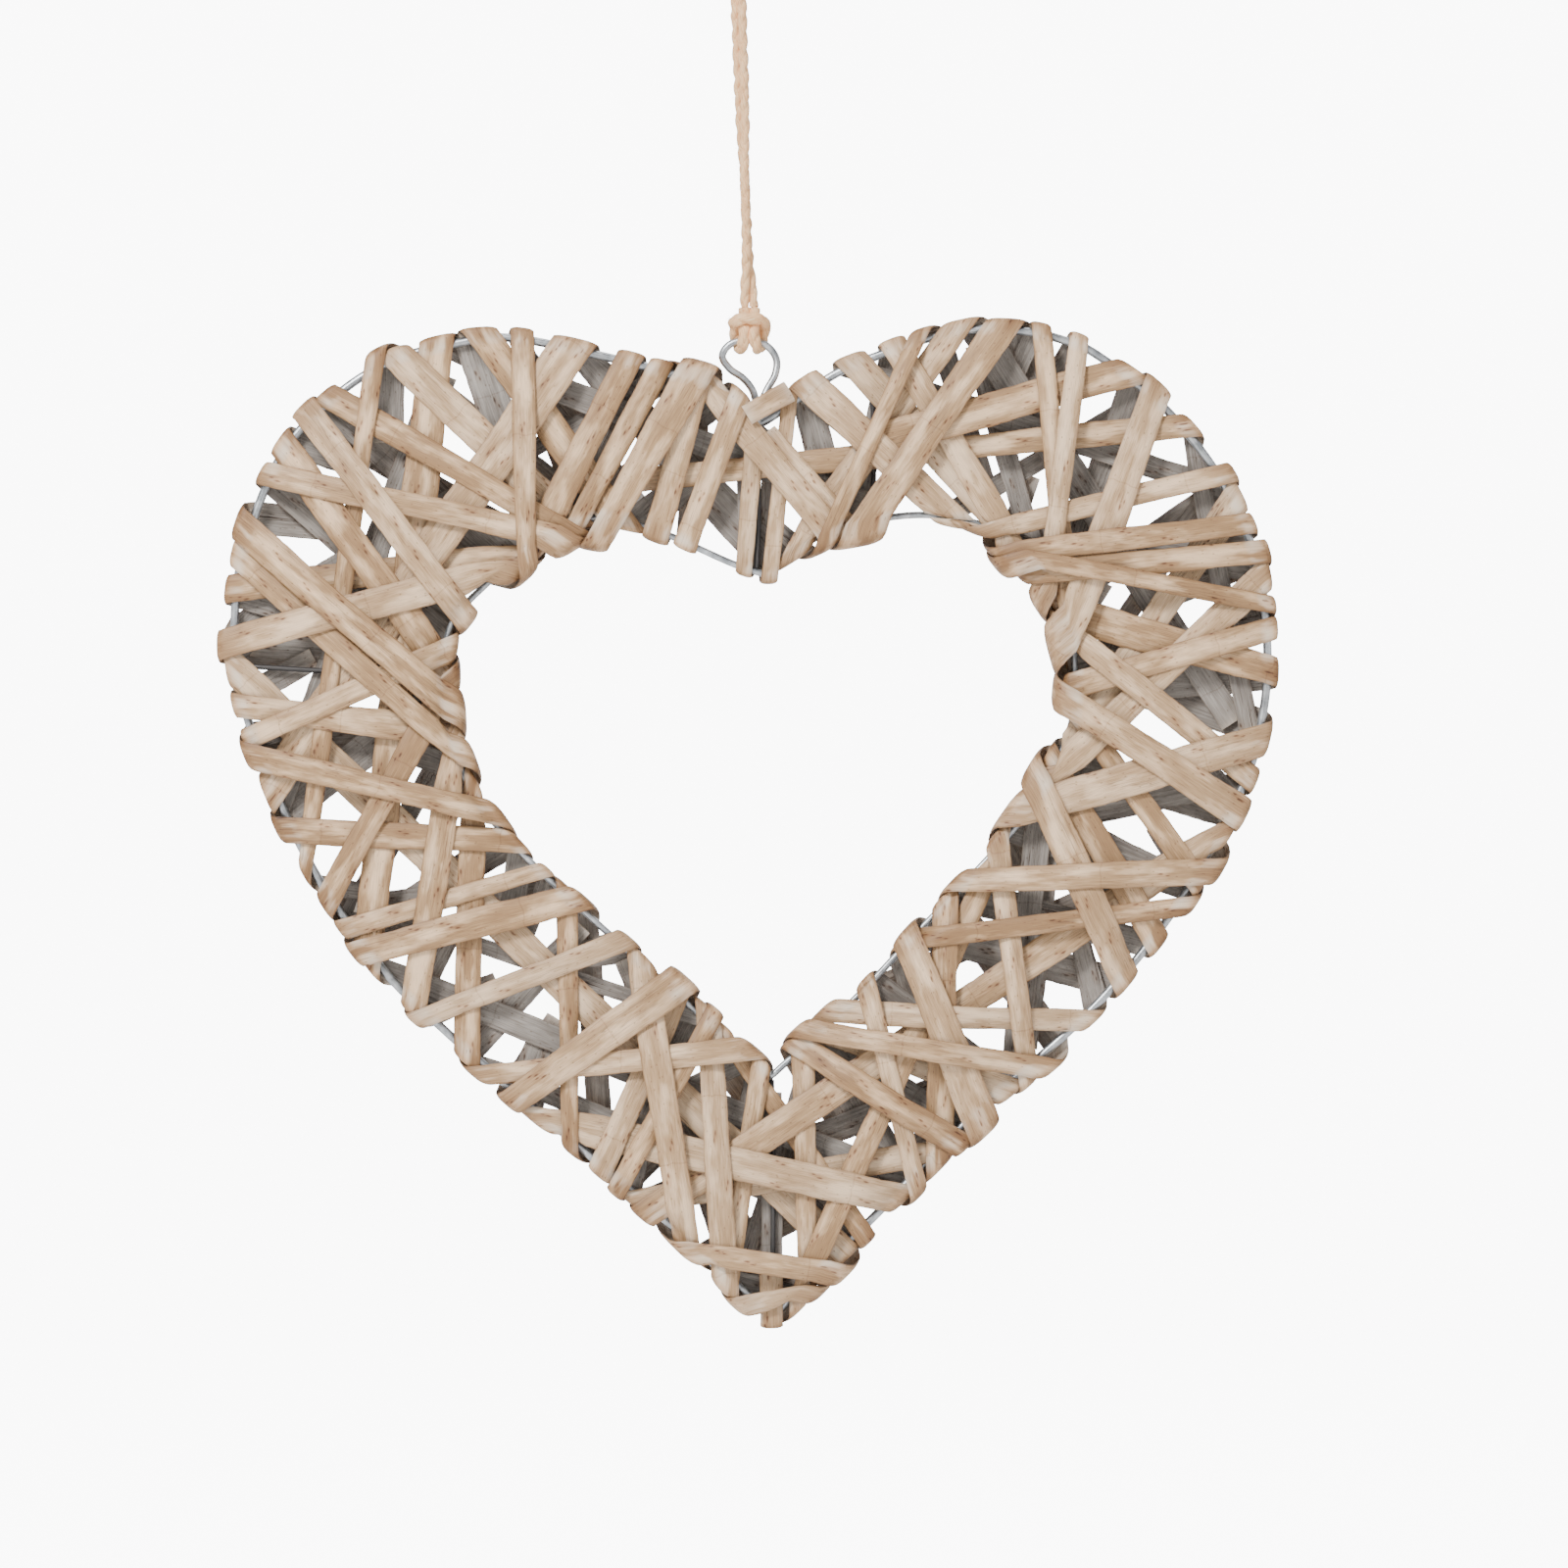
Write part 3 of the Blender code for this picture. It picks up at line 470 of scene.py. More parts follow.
INNER_LEFT = (
    (0.5, 20.1), (-3.1, 21.3), (-8.9, 23.9), (-12.5, 25.1), (-16.1, 25.7), (-20.4, 24.4),
    (-23.7, 21.8), (-26.8, 19.4), (-30.3, 15.3), (-31.0, 9.5), (-30.3, 4.5), (-27.8, -1.4),
    (-23.7, -6.4), (-18.0, -11.8), (-7.1, -21.5), (0.7, -28.2),
)
INNER_RIGHT = (
    (0.5, 20.1), (2.2, 22.2), (6.6, 24.5), (10.4, 25.5), (14.9, 26.0), (18.9, 25.6), (22.7, 24.3),
    (25.9, 21.6), (29.3, 15.6), (30.0, 8.5), (28.8, 3.4), (25.1, -3.1), (19.2, -9.8), (15.3, -13.8),
    (8.6, -20.9), (0.7, -28.2),
)


def unit(vector):
    return vector / np.linalg.norm(vector)


def place(percent):
    """A point of the heart's plan, from hundredths of its width, in metres."""
    return np.array((HEART_SHIFT + percent[0] * HEART_WIDTH / 100,
                     percent[1] * HEART_WIDTH / 100 - HEART_DROP))


def half(points):
    return even(smooth([place(p) for p in points]), LINE_STEP)


HALVES = {"L": half(OUTER_LEFT), "R": half(OUTER_RIGHT),
          "l": half(INNER_LEFT), "r": half(INNER_RIGHT)}


def galvanised_material():
    made, tree, shader = new_material("galvanised_wire")
    place_of = add_node(tree, "ShaderNodeTexCoord").outputs["Object"]
    bloom = noise(tree, place_of, 260.0, 4.0, 0.6)
    broad = noise(tree, place_of, 35.0, 2.0)
    tone = ramp(tree, bloom, (0.35, (0.36, 0.38, 0.40)), (0.60, (0.62, 0.64, 0.66)),
                (0.75, (0.74, 0.75, 0.76)))
    tone = mix_colour(tree, "MULTIPLY", 0.6, tone,
                      ramp(tree, broad, (0.4, (0.72, 0.70, 0.67)), (0.6, (1.0, 1.0, 1.0))))
    finish(tree, shader, tone, bloom, 0.25, 0.00015)
    tree.links.new(fade(tree, bloom, 0.0, 1.0, 0.24, 0.52), shader.inputs["Roughness"])
    set_inputs(shader, Metallic=0.92)
    return made


galvanised = galvanised_material()


def wire_rod(name, line, thickness, node, closed=False, metal=galvanised):
    """A round wire along a line, with its ends rounded off where it has ends."""
    if not closed:
        line = np.array(line, float)
        cap = thickness * END_ROUND
        line = np.vstack([line[0] + unit(line[0] - line[1]) * cap, line,
                          line[-1] + unit(line[-1] - line[-2]) * cap])
    path = path_object(name + "_path", line, closed)
    path.data.bevel_depth = thickness / 2
    path.data.bevel_resolution = 5
    path.data.use_fill_caps = True
    if not closed:
        for end in (0, -1):
            path.data.splines[0].points[end].radius = END_NARROW
    evaluated = path.evaluated_get(bpy.context.evaluated_depsgraph_get())
    mesh = bpy.data.meshes.new_from_object(evaluated)
    bpy.data.objects.remove(path, do_unlink=True)
    mesh.name = name
    mesh.shade_smooth()
    mesh.materials.clear()
    mesh.materials.append(metal)
    rod = add_object(name, mesh)
    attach(rod, "root")
    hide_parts(node)


def hoop_line(left, right):
    flat = np.vstack([HALVES[left], HALVES[right][::-1][1:-1]])
    return np.column_stack([flat[:, 0], np.zeros(len(flat)), flat[:, 1]])


wire_rod("outer_wire", hoop_line("L", "R"), OUTER_WIRE, "outer_heart_wire", closed=True)
wire_rod("inner_wire", hoop_line("l", "r"), INNER_WIRE, "inner_heart_wire", closed=True)


# ---------------------------------------------------------------- ties and hanging eye
# Short near-black wires hold the two hearts apart, at the cleft, the tip and across each
# limb. The eye is a pear-shaped ring of 2.8 mm galvanised wire, threaded under the outer wire at
# the cleft.

TIE_WIRE = 0.0020
TIE_GAP = 0.0004
TIE_BELOW_EYE = 0.0062  # the cleft's tie starts below the eye that hangs on the outer wire
TIE_BOW = 0.0006
TIE_POINTS = 12
TIE_STEP = 0.0003
EYE_WIRE = 0.0028
EYE_POINTS = (
    (-3.0, 0.0, 32.2), (3.5, 0.0, 30.0), (7.2, -0.5, 25.0), (6.8, -1.5, 19.0), (3.6, -2.8, 13.0),
    (1.2, -3.7, 7.0), (0.0, -3.9, 1.5), (0.0, -2.7, -2.7), (0.0, 0.0, -4.1), (0.0, 2.7, -2.7),
    (0.0, 3.9, 1.5), (-0.3, 3.8, 7.5), (-1.7, 3.3, 13.2), (-5.3, 2.6, 17.8), (-10.3, 1.2, 21.3),
    (-13.2, 0.2, 26.0), (-10.0, 0.0, 30.6),
)
dark_tie_metal, _, dark_tie_shader = new_material("annealed_wire")
set_inputs(dark_tie_shader, Base_Color=(0.075, 0.070, 0.068, 1), Metallic=0.6, Roughness=0.48)
TIE_PLACES = {"cleft_tie": ("L", 0.0, "l", 0.014), "tip_tie": ("L", 1.0, "l", 1.0),
              "left_tie": ("L", 0.467, "l", 0.443), "right_tie": ("R", 0.084, "r", 0.130)}


def on_hoop(half_name, share):
    line = HALVES[half_name]
    at = share * (len(line) - 1)
    k = min(int(at), len(line) - 2)
    return line[k] + (line[k + 1] - line[k]) * (at - k)


for name, (outer, outer_share, inner, inner_share) in TIE_PLACES.items():
    top, foot = on_hoop(outer, outer_share), on_hoop(inner, inner_share)
    way = unit(foot - top)
    top = top + way * (OUTER_WIRE / 2 + (TIE_BELOW_EYE if name == "cleft_tie" else TIE_GAP))
    foot = foot - way * (INNER_WIRE / 2 + TIE_GAP)
    tie = np.array([top + (foot - top) * t for t in np.linspace(0, 1, TIE_POINTS)])
    bow = np.sin(np.linspace(0, math.pi, TIE_POINTS)) * TIE_BOW
    wire_rod(name, np.column_stack([tie[:, 0] + bow, np.zeros(TIE_POINTS), tie[:, 1]]), TIE_WIRE,
             name + "_wire", metal=dark_tie_metal)

cleft = HALVES["L"][0]
eye_line = smooth([(cleft[0] + x / 1000, y / 1000, cleft[1] + z / 1000) for x, y, z in EYE_POINTS],
                  closed=True, steps=10)
wire_rod("wire_eye", eye_line, EYE_WIRE, "hanging_eye", closed=True)


# ---------------------------------------------------------------- split willow
# Forty lengths of split willow, 7 to 13 mm wide and a little over 1 mm thick, rounded and pale on
# the outer face and flat and grey on the inner. Each is wound over the face and behind, folds
# round a wire at every turn, and ends tucked in. Laid one over another, they rise in layers.

STRIP_THICKNESS = 0.0011
TUCK_LENGTH = 0.032  # how far a strip goes on behind the heart after its last fold
TUCK_WIDTH = 0.85
TUCK_SLOPE = 0.5
TAIL_SHARE = 0.93
OUTER_SLACK = 0.0012  # how loosely the first strips lie round each wire
INNER_SLACK = 0.0002
WEAVE_MARGIN = 0.0001
TUCKED_ENDS = {"A": (-0.9, 33.5), "B": (-12.3, 29.4), "C": (0.3, 34.0), "D": (8.5, 32.5),
               "E": (-1.7, 35.5), "F": (0.6, -46.5), "G": (2.4, 37.9)}

# Strip by strip in the order that they are laid. Each comma parts one pass over the face from the
# next, and says from where to where it runs and its width in millimetres. L and R are the outer
# wire's halves, l and r the inner wire's, each with the place in thousandths of the way from the
# cleft to the tip. Past a ~ an end runs on behind towards that place.
WEAVE = (
    "F L1000 9 ~ l1000",
    "L419 l283 11, L181 l170 13",
    "L471 R939 13",
    "r156 ~ L212 L663 12 ~ R880",
    "B R303 9 ~ R524",
    "L893 R852 10, r929 R795 10, r555 R362 10, R74 r312 10",
    "L236 l219 13",
    "A l28 7 ~ L14",
    "L620 ~ l939 R921 7, L750 l568 10",
    "R524 ~ R138 r45 12, L128 L545 13 ~ L200",
    "R968 r955 8, L964 l985 8",
    "r215 ~ R24 l0 7 ~ R10",
    "C r102 7, R101 r282 10 ~ R152",
    "R752 ~ L901 R582 12",
    "l776 ~ R975 r654 9, R613 r484 9, R471 r380 12, R253 D 13",
    "L440 ~ L72 l213 8, L92 l260 11, L284 l232 10, L253 L594 7",
    "L327 l432 12, L575 l632 10",
    "L493 l499 10, L645 l676 7",
    "R850 r739 11, R658 r552 10 ~ R776",
    "L41 r82 11, R42 r212 12, R414 r567 11 ~ R620",
    "L816 R892 13, r898 R729 9",
    "L961 l914 11, L860 l870 10",
    "R195 r402 8, R446 r459 9 ~ R344",
    "R872 r861 8, R774 r657 8, R539 r405 9, R342 r262 8 ~ R272",
    "L512 l416 9, L346 l247 9, L18 l94 9, L46 l127 9 ~ L164",
    "L875 l914 8, L834 l715 7, L622 l457 10 ~ L452",
    "R219 r343 8, R278 r399 13, R517 r601 13",
    "l745 ~ L772 l956 10",
    "E G 8",
    "R396 r331 10, R377 r303 8, R114 r82 7",
    "L706 l521 11, L401 l518 9",
    "R429 r314 7",
    "R635 r790 8, R840 r955 10",
    "r482 R562 12, r581 R689 12, r796 R816 11, L928 l820 11",
    "L452 l307 12, L302 l368 11",
    "r870 ~ R608 r703 10, R771 r929 9",
    "R168 r125 13, L51 l176 10, L158 l274 8",
    "L384 l465 13, L527 l590 10, L663 l720 11 ~ L860",
    "L718 l787 8, L987 R977 7",
    "L793 l859 12, R957 L941 9",
)

WIRE_RADIUS = {"L": OUTER_WIRE / 2, "R": OUTER_WIRE / 2, "l": INNER_WIRE / 2, "r": INNER_WIRE / 2}
HEART_MIDDLE = place((0, 5))
SPREAD = 0.004  # length of wire over which a strip finds which way the wire runs
SHARED_TURN = math.radians(72)  # folds that face further apart than this don't stack
CELL = 0.0007  # cells of the two height maps, in which each strip finds what is laid already
GRID_LOW = place((-56, -56))
GRID_SHAPE = tuple(int(math.ceil(v / CELL)) + 1 for v in place((56, 56)) - GRID_LOW)
FACE, BEHIND = -1, 1
heights = {FACE: np.zeros(GRID_SHAPE), BEHIND: np.zeros(GRID_SHAPE)}
rims = {"outer": [], "inner": []}
WIDEST_SLANT = 1.55  # a fold is at most this many times as long as its strip is wide
GATHERED = 0.6  # how soon a strip that is gathered in at a fold has its full width again
FOLD_FULLNESS = 0.5  # below 1 a fold is squarer than half an ellipse
FOLD_STEPS = 14
FARTHEST_SLIP = 0.0045  # along the wire, on the way out to a fold's crest
DEPTH_SHARE = 0.4  # how much of a fold's depth adds to its slip along the wire
STEEPEST_LEAN = 1.5
CONTACTS = 2  # how many crossings a pass rests on, but for bends too slight to leave out
SLIGHTEST_BEND = 3e-6  # square metres
SHORTEST_SPAN = 0.009
SECTION_STEP = 0.0022
ACROSS_STEPS, OUT_STEPS, ALONG_STEPS = 15, 9, 11  # of the points that feel for what lies below
BENDING = 0.005  # length over which a strip bends as it comes over another
BELL_WIDTH = 0.8  # share of that length by which a bend is blurred
FOLD_MARK_LENGTH = 0.004  # length beside a fold over which its colour marks fade out: painted shade, painted light on the inner face and pale stretched skin
FOLD_MARK_SHARE = 0.55  # how strong those marks are where the fold starts, with 1 at the fold's crest


def turn(vector):
    return np.array((-vector[1], vector[0]))


class Stop:
    """A place where a strip folds round a wire: its point, the way along, the way out."""

    def __init__(self, code):
        self.half = code[0]
        line, share = HALVES[self.half], int(code[1:]) / 1000
        self.point = on_hoop(self.half, share)
        at_end = share in (0.0, 1.0)
        k = min(int(share * (len(line) - 1)), len(line) - 2)
        reach = int(SPREAD / LINE_STEP)
        self.along = np.array((1.0, 0.0)) if at_end else unit(
            line[min(k + reach, len(line) - 1)] - line[max(k - reach, 0)])
        self.out = turn(self.along)
        if np.dot(self.out, self.point - HEART_MIDDLE) < 0:
            self.out = -self.out
        if at_end and self.half in "LR":
            self.out = np.array((0.0, 1.0 if share == 0.0 else -1.0))
        if self.half in "lr":
            self.out = -self.out


class TuckedEnd:
    """An end of a strip that lies free among the others."""

    def __init__(self, point):
        self.half = None
        self.point = point


def cells(points):
    return np.clip(np.rint((points - GRID_LOW) / CELL).astype(int), 1, np.array(GRID_SHAPE) - 2)


def height_at(side, points):
    c = cells(points)
    return heights[side][c[..., 0], c[..., 1]]


def raise_to(side, points, tops):
    c = cells(points).reshape(-1, 2)
    tops = np.broadcast_to(tops, points.shape[:-1]).reshape(-1)
    for dx in (-1, 0, 1):
        for dz in (-1, 0, 1):
            np.maximum.at(heights[side], (c[:, 0] + dx, c[:, 1] + dz), tops)


def lay_wire(line, radius):
    """Marks a wire's own height on both sides of the heart."""
    flat = line[:, (0, -1)]
    depth = line[:, 1] if line.shape[1] == 3 else np.zeros(len(line))
    for side in heights:
        for share in np.linspace(-1, 1, 5):
            way = np.gradient(flat, axis=0)
            way /= np.maximum(np.linalg.norm(way, axis=1, keepdims=True), 1e-9)
            across = np.column_stack([-way[:, 1], way[:, 0]]) * share * radius
            raise_to(side, flat + across, np.maximum(radius + side * depth, 0))


def hoop_of(half_name):
    return "outer" if half_name in "LR" else "inner"


class Fold:
    """A strip's turn round a wire: it goes on in the strip's own slant, over the rim and behind."""

    def __init__(self, stop, half_width, lean):
        self.stop, self.half_width = stop, half_width
        reach = WIRE_RADIUS[stop.half] + (OUTER_SLACK if stop.half in "LR" else INNER_SLACK)
        for point, out in rims[hoop_of(stop.half)]:
            offset = point - stop.point
            beside = abs(np.dot(offset, stop.along) - lean * reach)
            if beside < half_width + CLEARANCE and np.dot(out, stop.out) > math.cos(SHARED_TURN):
                reach = max(reach, np.dot(offset, stop.out))
        self.reach = reach + CLEARANCE + WEAVE_MARGIN
        self.lean = lean = math.copysign(min(abs(lean), FARTHEST_SLIP / self.reach), lean)
        self.shift = 0.0
        depth = sum(height_at(side, self.patch(side)).max() + STRIP_THICKNESS for side in heights)
        self.shift = lean * (2 * self.reach + depth * DEPTH_SHARE)

    def patch(self, side):
        """Points all over the fold, as it lies over the face or behind."""
        along = np.linspace(-self.half_width, self.half_width, ACROSS_STEPS)
        out = np.linspace(0, self.reach + STRIP_THICKNESS, OUT_STEPS)
        a, o = np.meshgrid(along, out)
        a = a + self.lean * o if side == FACE else a + self.shift - self.lean * o
        return self.stop.point + a[..., None] * self.stop.along + o[..., None] * self.stop.out

    def foot(self, side):
        """Where the middle of the strip comes to the wire, over the face or behind."""
        return self.stop.point + self.stop.along * (0.0 if side == FACE else self.shift)

    def mark(self, tops):
        """Notes the fold's rim, and its height on each side, for the strips that follow."""
        near, far = sorted((self.lean * self.reach, self.shift - self.lean * self.reach))
        rim = self.stop.point + self.stop.out * (self.reach + STRIP_THICKNESS)
        for at in np.linspace(near - self.half_width, far + self.half_width, ALONG_STEPS):
            rims[hoop_of(self.stop.half)].append((rim + self.stop.along * at, self.stop.out))
        for side, top in tops.items():
            raise_to(side, self.patch(side), top)


def taut(runs, needs):
    """The tight line over all the needs, as the runs and heights of its bends: the hull, with its
    least bends run together one by one."""
    hull = []
    for s, h in zip(runs, needs):
        while len(hull) > 1:
            (s0, h0), (s1, h1) = hull[-2], hull[-1]
            if (h1 - h0) * (s - s0) > (h - h0) * (s1 - s0):
                break
            hull.pop()
        hull.append((s, h))
    while len(hull) > 3:
        best = None
        for i in range(1, len(hull) - 2):
            (s0, h0), (s1, h1), (s2, h2), (s3, h3) = hull[i - 1:i + 3]
            rise_in = (h1 - h0) / (s1 - s0)
            rise_out = (h3 - h2) / (s3 - s2)
            s = (h2 - h1 + rise_in * s1 - rise_out * s2) / (rise_in - rise_out)
            meeting = (s, h1 + rise_in * (s - s1))
            short = s2 - s1 < SHORTEST_SPAN
            extra = 0 if short else (s2 - s1) * abs(meeting[1] - max(h1, h2))
            if short or best is None or extra < best[0]:
                best = (extra, i, meeting)
            if short:
                break
        if len(hull) - 2 <= CONTACTS and best[0] > SLIGHTEST_BEND:
            break
        hull[best[1]:best[1] + 2] = [best[2]]
    return hull


def corner_reach(stop, way, width):
    """Half of a fold's length along the wire, for a strip that meets it slanting."""
    return width / 2 / max(abs(np.dot(way, stop.out)), 1 / WIDEST_SLANT)


class Pass:
    """One crossing of the strip, over the face or behind, from one place to the next."""

    def __init__(self, start, end, width, side):
        self.start, self.end, self.width, self.side = start, end, width, side
        self.head(start.point, end.point)

    def head(self, start_point, end_point):
        self.start_point, self.end_point = start_point, end_point
        self.way = unit(end_point - start_point)
        self.left = turn(self.way) * (1 if self.side == FACE else -1)
        self.length = np.linalg.norm(end_point - start_point)

    def corners(self, stop, half_width):
        point = self.start_point if stop is self.start else self.end_point
        if stop.half is None:
            step = self.left * self.width / 2
        else:
            step = stop.along * math.copysign(1, np.dot(stop.along, self.left)) * half_width
        return point + step, point - step

    def gathers(self, stop, half_width):
        """How far from a fold the strip has its full width again, where it is gathered in there."""
        if stop.half is None or abs(np.dot(self.way, stop.out)) * WIDEST_SLANT >= 1:
            return None
        return half_width + self.width * GATHERED

    def set_edges(self, half_start, half_end):
        """The two edges in plan, as runs along the strip and points."""
        near = self.gathers(self.start, half_start)
        far = self.gathers(self.end, half_end)
        marks = [near] if near else []
        if far and self.length - far > (near or 0) + SHORTEST_SPAN:
            marks.append(self.length - far)
        middles = [self.start_point + self.way * run for run in marks]
        step = self.left * self.width / 2
        self.runs = [0.0, *marks, self.length]
        self.sides = np.array([self.corners(self.start, half_start),
                               *((middle + step, middle - step) for middle in middles),
                               self.corners(self.end, half_end)])

    def edges(self, runs):
        """The left and the right edge's points at those runs."""
        return [np.column_stack([np.interp(runs, self.runs, self.sides[:, side, k])
                                 for k in (0, 1)]) for side in (0, 1)]


def tuck(stop, other):
    """Where a strip's hidden end stops, behind the heart, after its last fold."""
    arriving = unit(stop.point - other.point)
    leaving = arriving - 2 * np.dot(arriving, stop.out) * stop.out
    if np.dot(leaving, stop.out) > -TUCK_SLOPE:
        leaving = unit(leaving - stop.out * TUCK_SLOPE)
    return TuckedEnd(stop.point + leaving * TUCK_LENGTH)


def tail(stop, code):
    return TuckedEnd(stop.point + (Stop(code).point - stop.point) * TAIL_SHARE)


def read_route(text):
    """The stops of a strip, the width of each pass and the side that it starts on."""
    pieces = text.split(" ~ ")
    first = pieces.pop(0) if " " not in pieces[0] else None
    last = pieces.pop() if len(pieces) > 1 else None
    route, widths = [], []
    for one in pieces[0].split(","):
        start, end, width = one.split()
        if widths:
            widths.append((widths[-1] + float(width) / 1000) / 2)
        for code in (start, end):
            route.append(TuckedEnd(place(TUCKED_ENDS[code])) if code in TUCKED_ENDS else Stop(code))
        widths.append(float(width) / 1000)
    side = FACE
    if route[0].half is not None:
        route.insert(0, tail(route[0], first) if first else tuck(route[0], route[1]))
        widths.insert(0, widths[0] * TUCK_WIDTH)
        side = BEHIND
    if route[-1].half is not None:
        route.append(tail(route[-1], last) if last else tuck(route[-1], route[-2]))
        widths.append(widths[-1] * TUCK_WIDTH)
    return route, widths, side


WAVE_SPREADS = (0.8, 1.0, 1.31)  # three wavelengths for one, so that no wave repeats
WAVE_REACH = 1.6  # brings their sum up to about 1


def wander(run, seed, waves):
    """A smooth wavering along the strip between about -1 and 1, from (wavelength, share) pairs."""
    chance = np.random.RandomState(seed)
    total = np.zeros_like(run)
    for wavelength, share in waves:
        for spread in WAVE_SPREADS:
            turned = 2 * math.pi * (run / wavelength / spread + chance.rand())
            total += share / len(WAVE_SPREADS) * WAVE_REACH * np.sin(turned)
    return total


# One cross-section of a strip on its way: edges, outward direction, grain runs, fold share
Row = namedtuple("Row", "left right normal run_left run_right fold")


def solid(point, depth):
    return np.array((point[0], depth, point[1]))


def lay_strip(route, widths, first_side):
    """Lays a strip over all that is laid already, and gives its rows from end to end."""
    parts = []
    for k, (start, end, width) in enumerate(zip(route, route[1:], widths)):
        parts.append(Pass(start, end, width, first_side * (-1) ** k))
    folds = []
    for i, stop in enumerate(route):
        near = parts[max(i - 1, 0):i + 1] if stop.half else []
        folds.append(sum(corner_reach(stop, p.way, p.width) for p in near) / max(len(near), 1))
    turns, rows, run_base, came = {}, [], 0.0, 0.0
    for i, part in enumerate(parts):
        ends = []
        for j in (i, i + 1):
            if route[j].half is None:
                ends.append(0)
                continue
            if j not in turns:
                turns[j] = Fold(route[j], folds[j], lean_of(route[j], parts[j - 1], parts[j]))
            top = height_at(part.side, turns[j].patch(part.side)).max()
            ends.append(top + CLEARANCE + WEAVE_MARGIN)
        part.head(*(turns[j].foot(part.side) if j in turns else route[j].point
                    for j in (i, i + 1)))
        part.set_edges(folds[i], folds[i + 1])
        runs = np.linspace(0, part.length, max(8, int(part.length / CELL)))
        lefts, rights = part.edges(runs)
        across = np.linspace(0, 1, ACROSS_STEPS)
        floor = lefts[:, None] + (rights - lefts)[:, None] * across[None, :, None]
        needs = height_at(part.side, floor).max(axis=1) + CLEARANCE + WEAVE_MARGIN
        needs[0] = max(needs[0], ends[0])
        needs[-1] = max(needs[-1], ends[1])
        bends = taut(runs, needs)
        line = np.interp(runs, [b[0] for b in bends], [b[1] for b in bends])
        raise_to(part.side, floor, (line + STRIP_THICKNESS)[:, None])
        height = eased(runs, line)
        if i > 0:
            run_base += add_fold(rows, part, turns[i], came, height[0], run_base)
            turns[i].mark({-part.side: came + STRIP_THICKNESS,
                           part.side: height[0] + STRIP_THICKNESS})
        fine = np.linspace(0, part.length, max(4, int(part.length / SECTION_STEP)))
        fine_lefts, fine_rights = part.edges(fine)
        fine_height = np.interp(fine, runs, height)
        slope = np.gradient(fine_height, fine)
        half_way = part.length / 2
        for k, run in enumerate(fine):
            normal = np.array((-slope[k] * part.way[0], part.side, -slope[k] * part.way[1]))
            depth = part.side * fine_height[k]
            edge = min(run, part.length - run) if part.length else 0
            fold = math.exp(-(edge / FOLD_MARK_LENGTH) ** 2) * FOLD_MARK_SHARE
            if (i == 0 and run < half_way) or (i == len(parts) - 1 and run > half_way):
                fold = fold if route[0 if run < half_way else -1].half else 0.0
            rows.append(Row(solid(fine_lefts[k], depth), solid(fine_rights[k], depth), unit(normal),
                            *(run_base + np.dot(edges[k] - part.start_point, part.way)
                              for edges in (fine_lefts, fine_rights)), fold))
        run_base += part.length
        came = height[-1]
    return rows


def eased(runs, line):
    """The tight line with its bends rounded, its ends kept."""
    step = runs[1] - runs[0]
    reach = max(1, int(round(BENDING / step)))
    weights = np.exp(-0.5 * (np.arange(-2 * reach, 2 * reach + 1) / (reach * BELL_WIDTH)) ** 2)
    weights /= weights.sum()
    before = 2 * line[0] - np.interp(np.arange(2 * reach, 0, -1) * step, runs, line)
    after = 2 * line[-1] - np.interp(runs[-1] - np.arange(1, 2 * reach + 1) * step, runs, line)
    return np.convolve(np.concatenate([before, line, after]), weights, mode="valid")


def lean_of(stop, before, after):
    """How far the strip on the face slips along the wire for each step that it goes out."""
    way = before.way if before.side == FACE else after.way
    lean = np.dot(way, stop.along) / (np.dot(way, stop.out) or 1e-9)
    return max(-STEEPEST_LEAN, min(STEEPEST_LEAN, lean))


def add_fold(rows, part, fold, came, goes, run_base):
    """Carries the strip round the wire, from the side it came on to the side of this pass."""
    stop, reach, before = fold.stop, fold.reach, rows[-1]
    left, right = part.corners(stop, fold.half_width)
    came_depth, goes_depth = -part.side * came, part.side * goes
    middle, spread = (came_depth + goes_depth) / 2, (came_depth - goes_depth) / 2
    slip_deep = (fold.shift - 2 * fold.lean * reach) / (came + goes)
    length = 2 * reach + came + goes
    ends = [run_base + length + np.dot(p - part.start_point, part.way) for p in (left, right)]
    for k in range(1, FOLD_STEPS):
        share, angle = k / FOLD_STEPS, math.pi * k / FOLD_STEPS
        out = reach * math.sin(angle) ** FOLD_FULLNESS
        depth = middle + spread * math.copysign(abs(math.cos(angle)) ** FOLD_FULLNESS,
                                                math.cos(angle))
        from_came = fold.lean * out + slip_deep * abs(depth - came_depth)
        from_goes = fold.lean * out + slip_deep * abs(depth - goes_depth)
        if part.side == FACE:
            over_face, over_back = from_goes, from_came
        else:
            over_face, over_back = from_came, from_goes
        slip = over_face if (depth < middle) == (FACE < 0) else fold.shift - over_back
        slip -= 0.0 if part.side == FACE else fold.shift
        normal_out, normal_depth = math.sin(angle) / reach, math.cos(angle) / spread
        size = math.hypot(normal_out, normal_depth)
        normal = np.array((stop.out[0] * normal_out / size, normal_depth / size,
                           stop.out[1] * normal_out / size))
        moved = stop.out * out + stop.along * slip
        runs = [b * (1 - share) + e * share
                for b, e in zip((before.run_left, before.run_right), ends)]
        rows.append(Row(solid(left + moved, depth), solid(right + moved, depth), normal, *runs,
                        FOLD_MARK_SHARE + (1 - FOLD_MARK_SHARE) * math.sin(angle)))
    return length


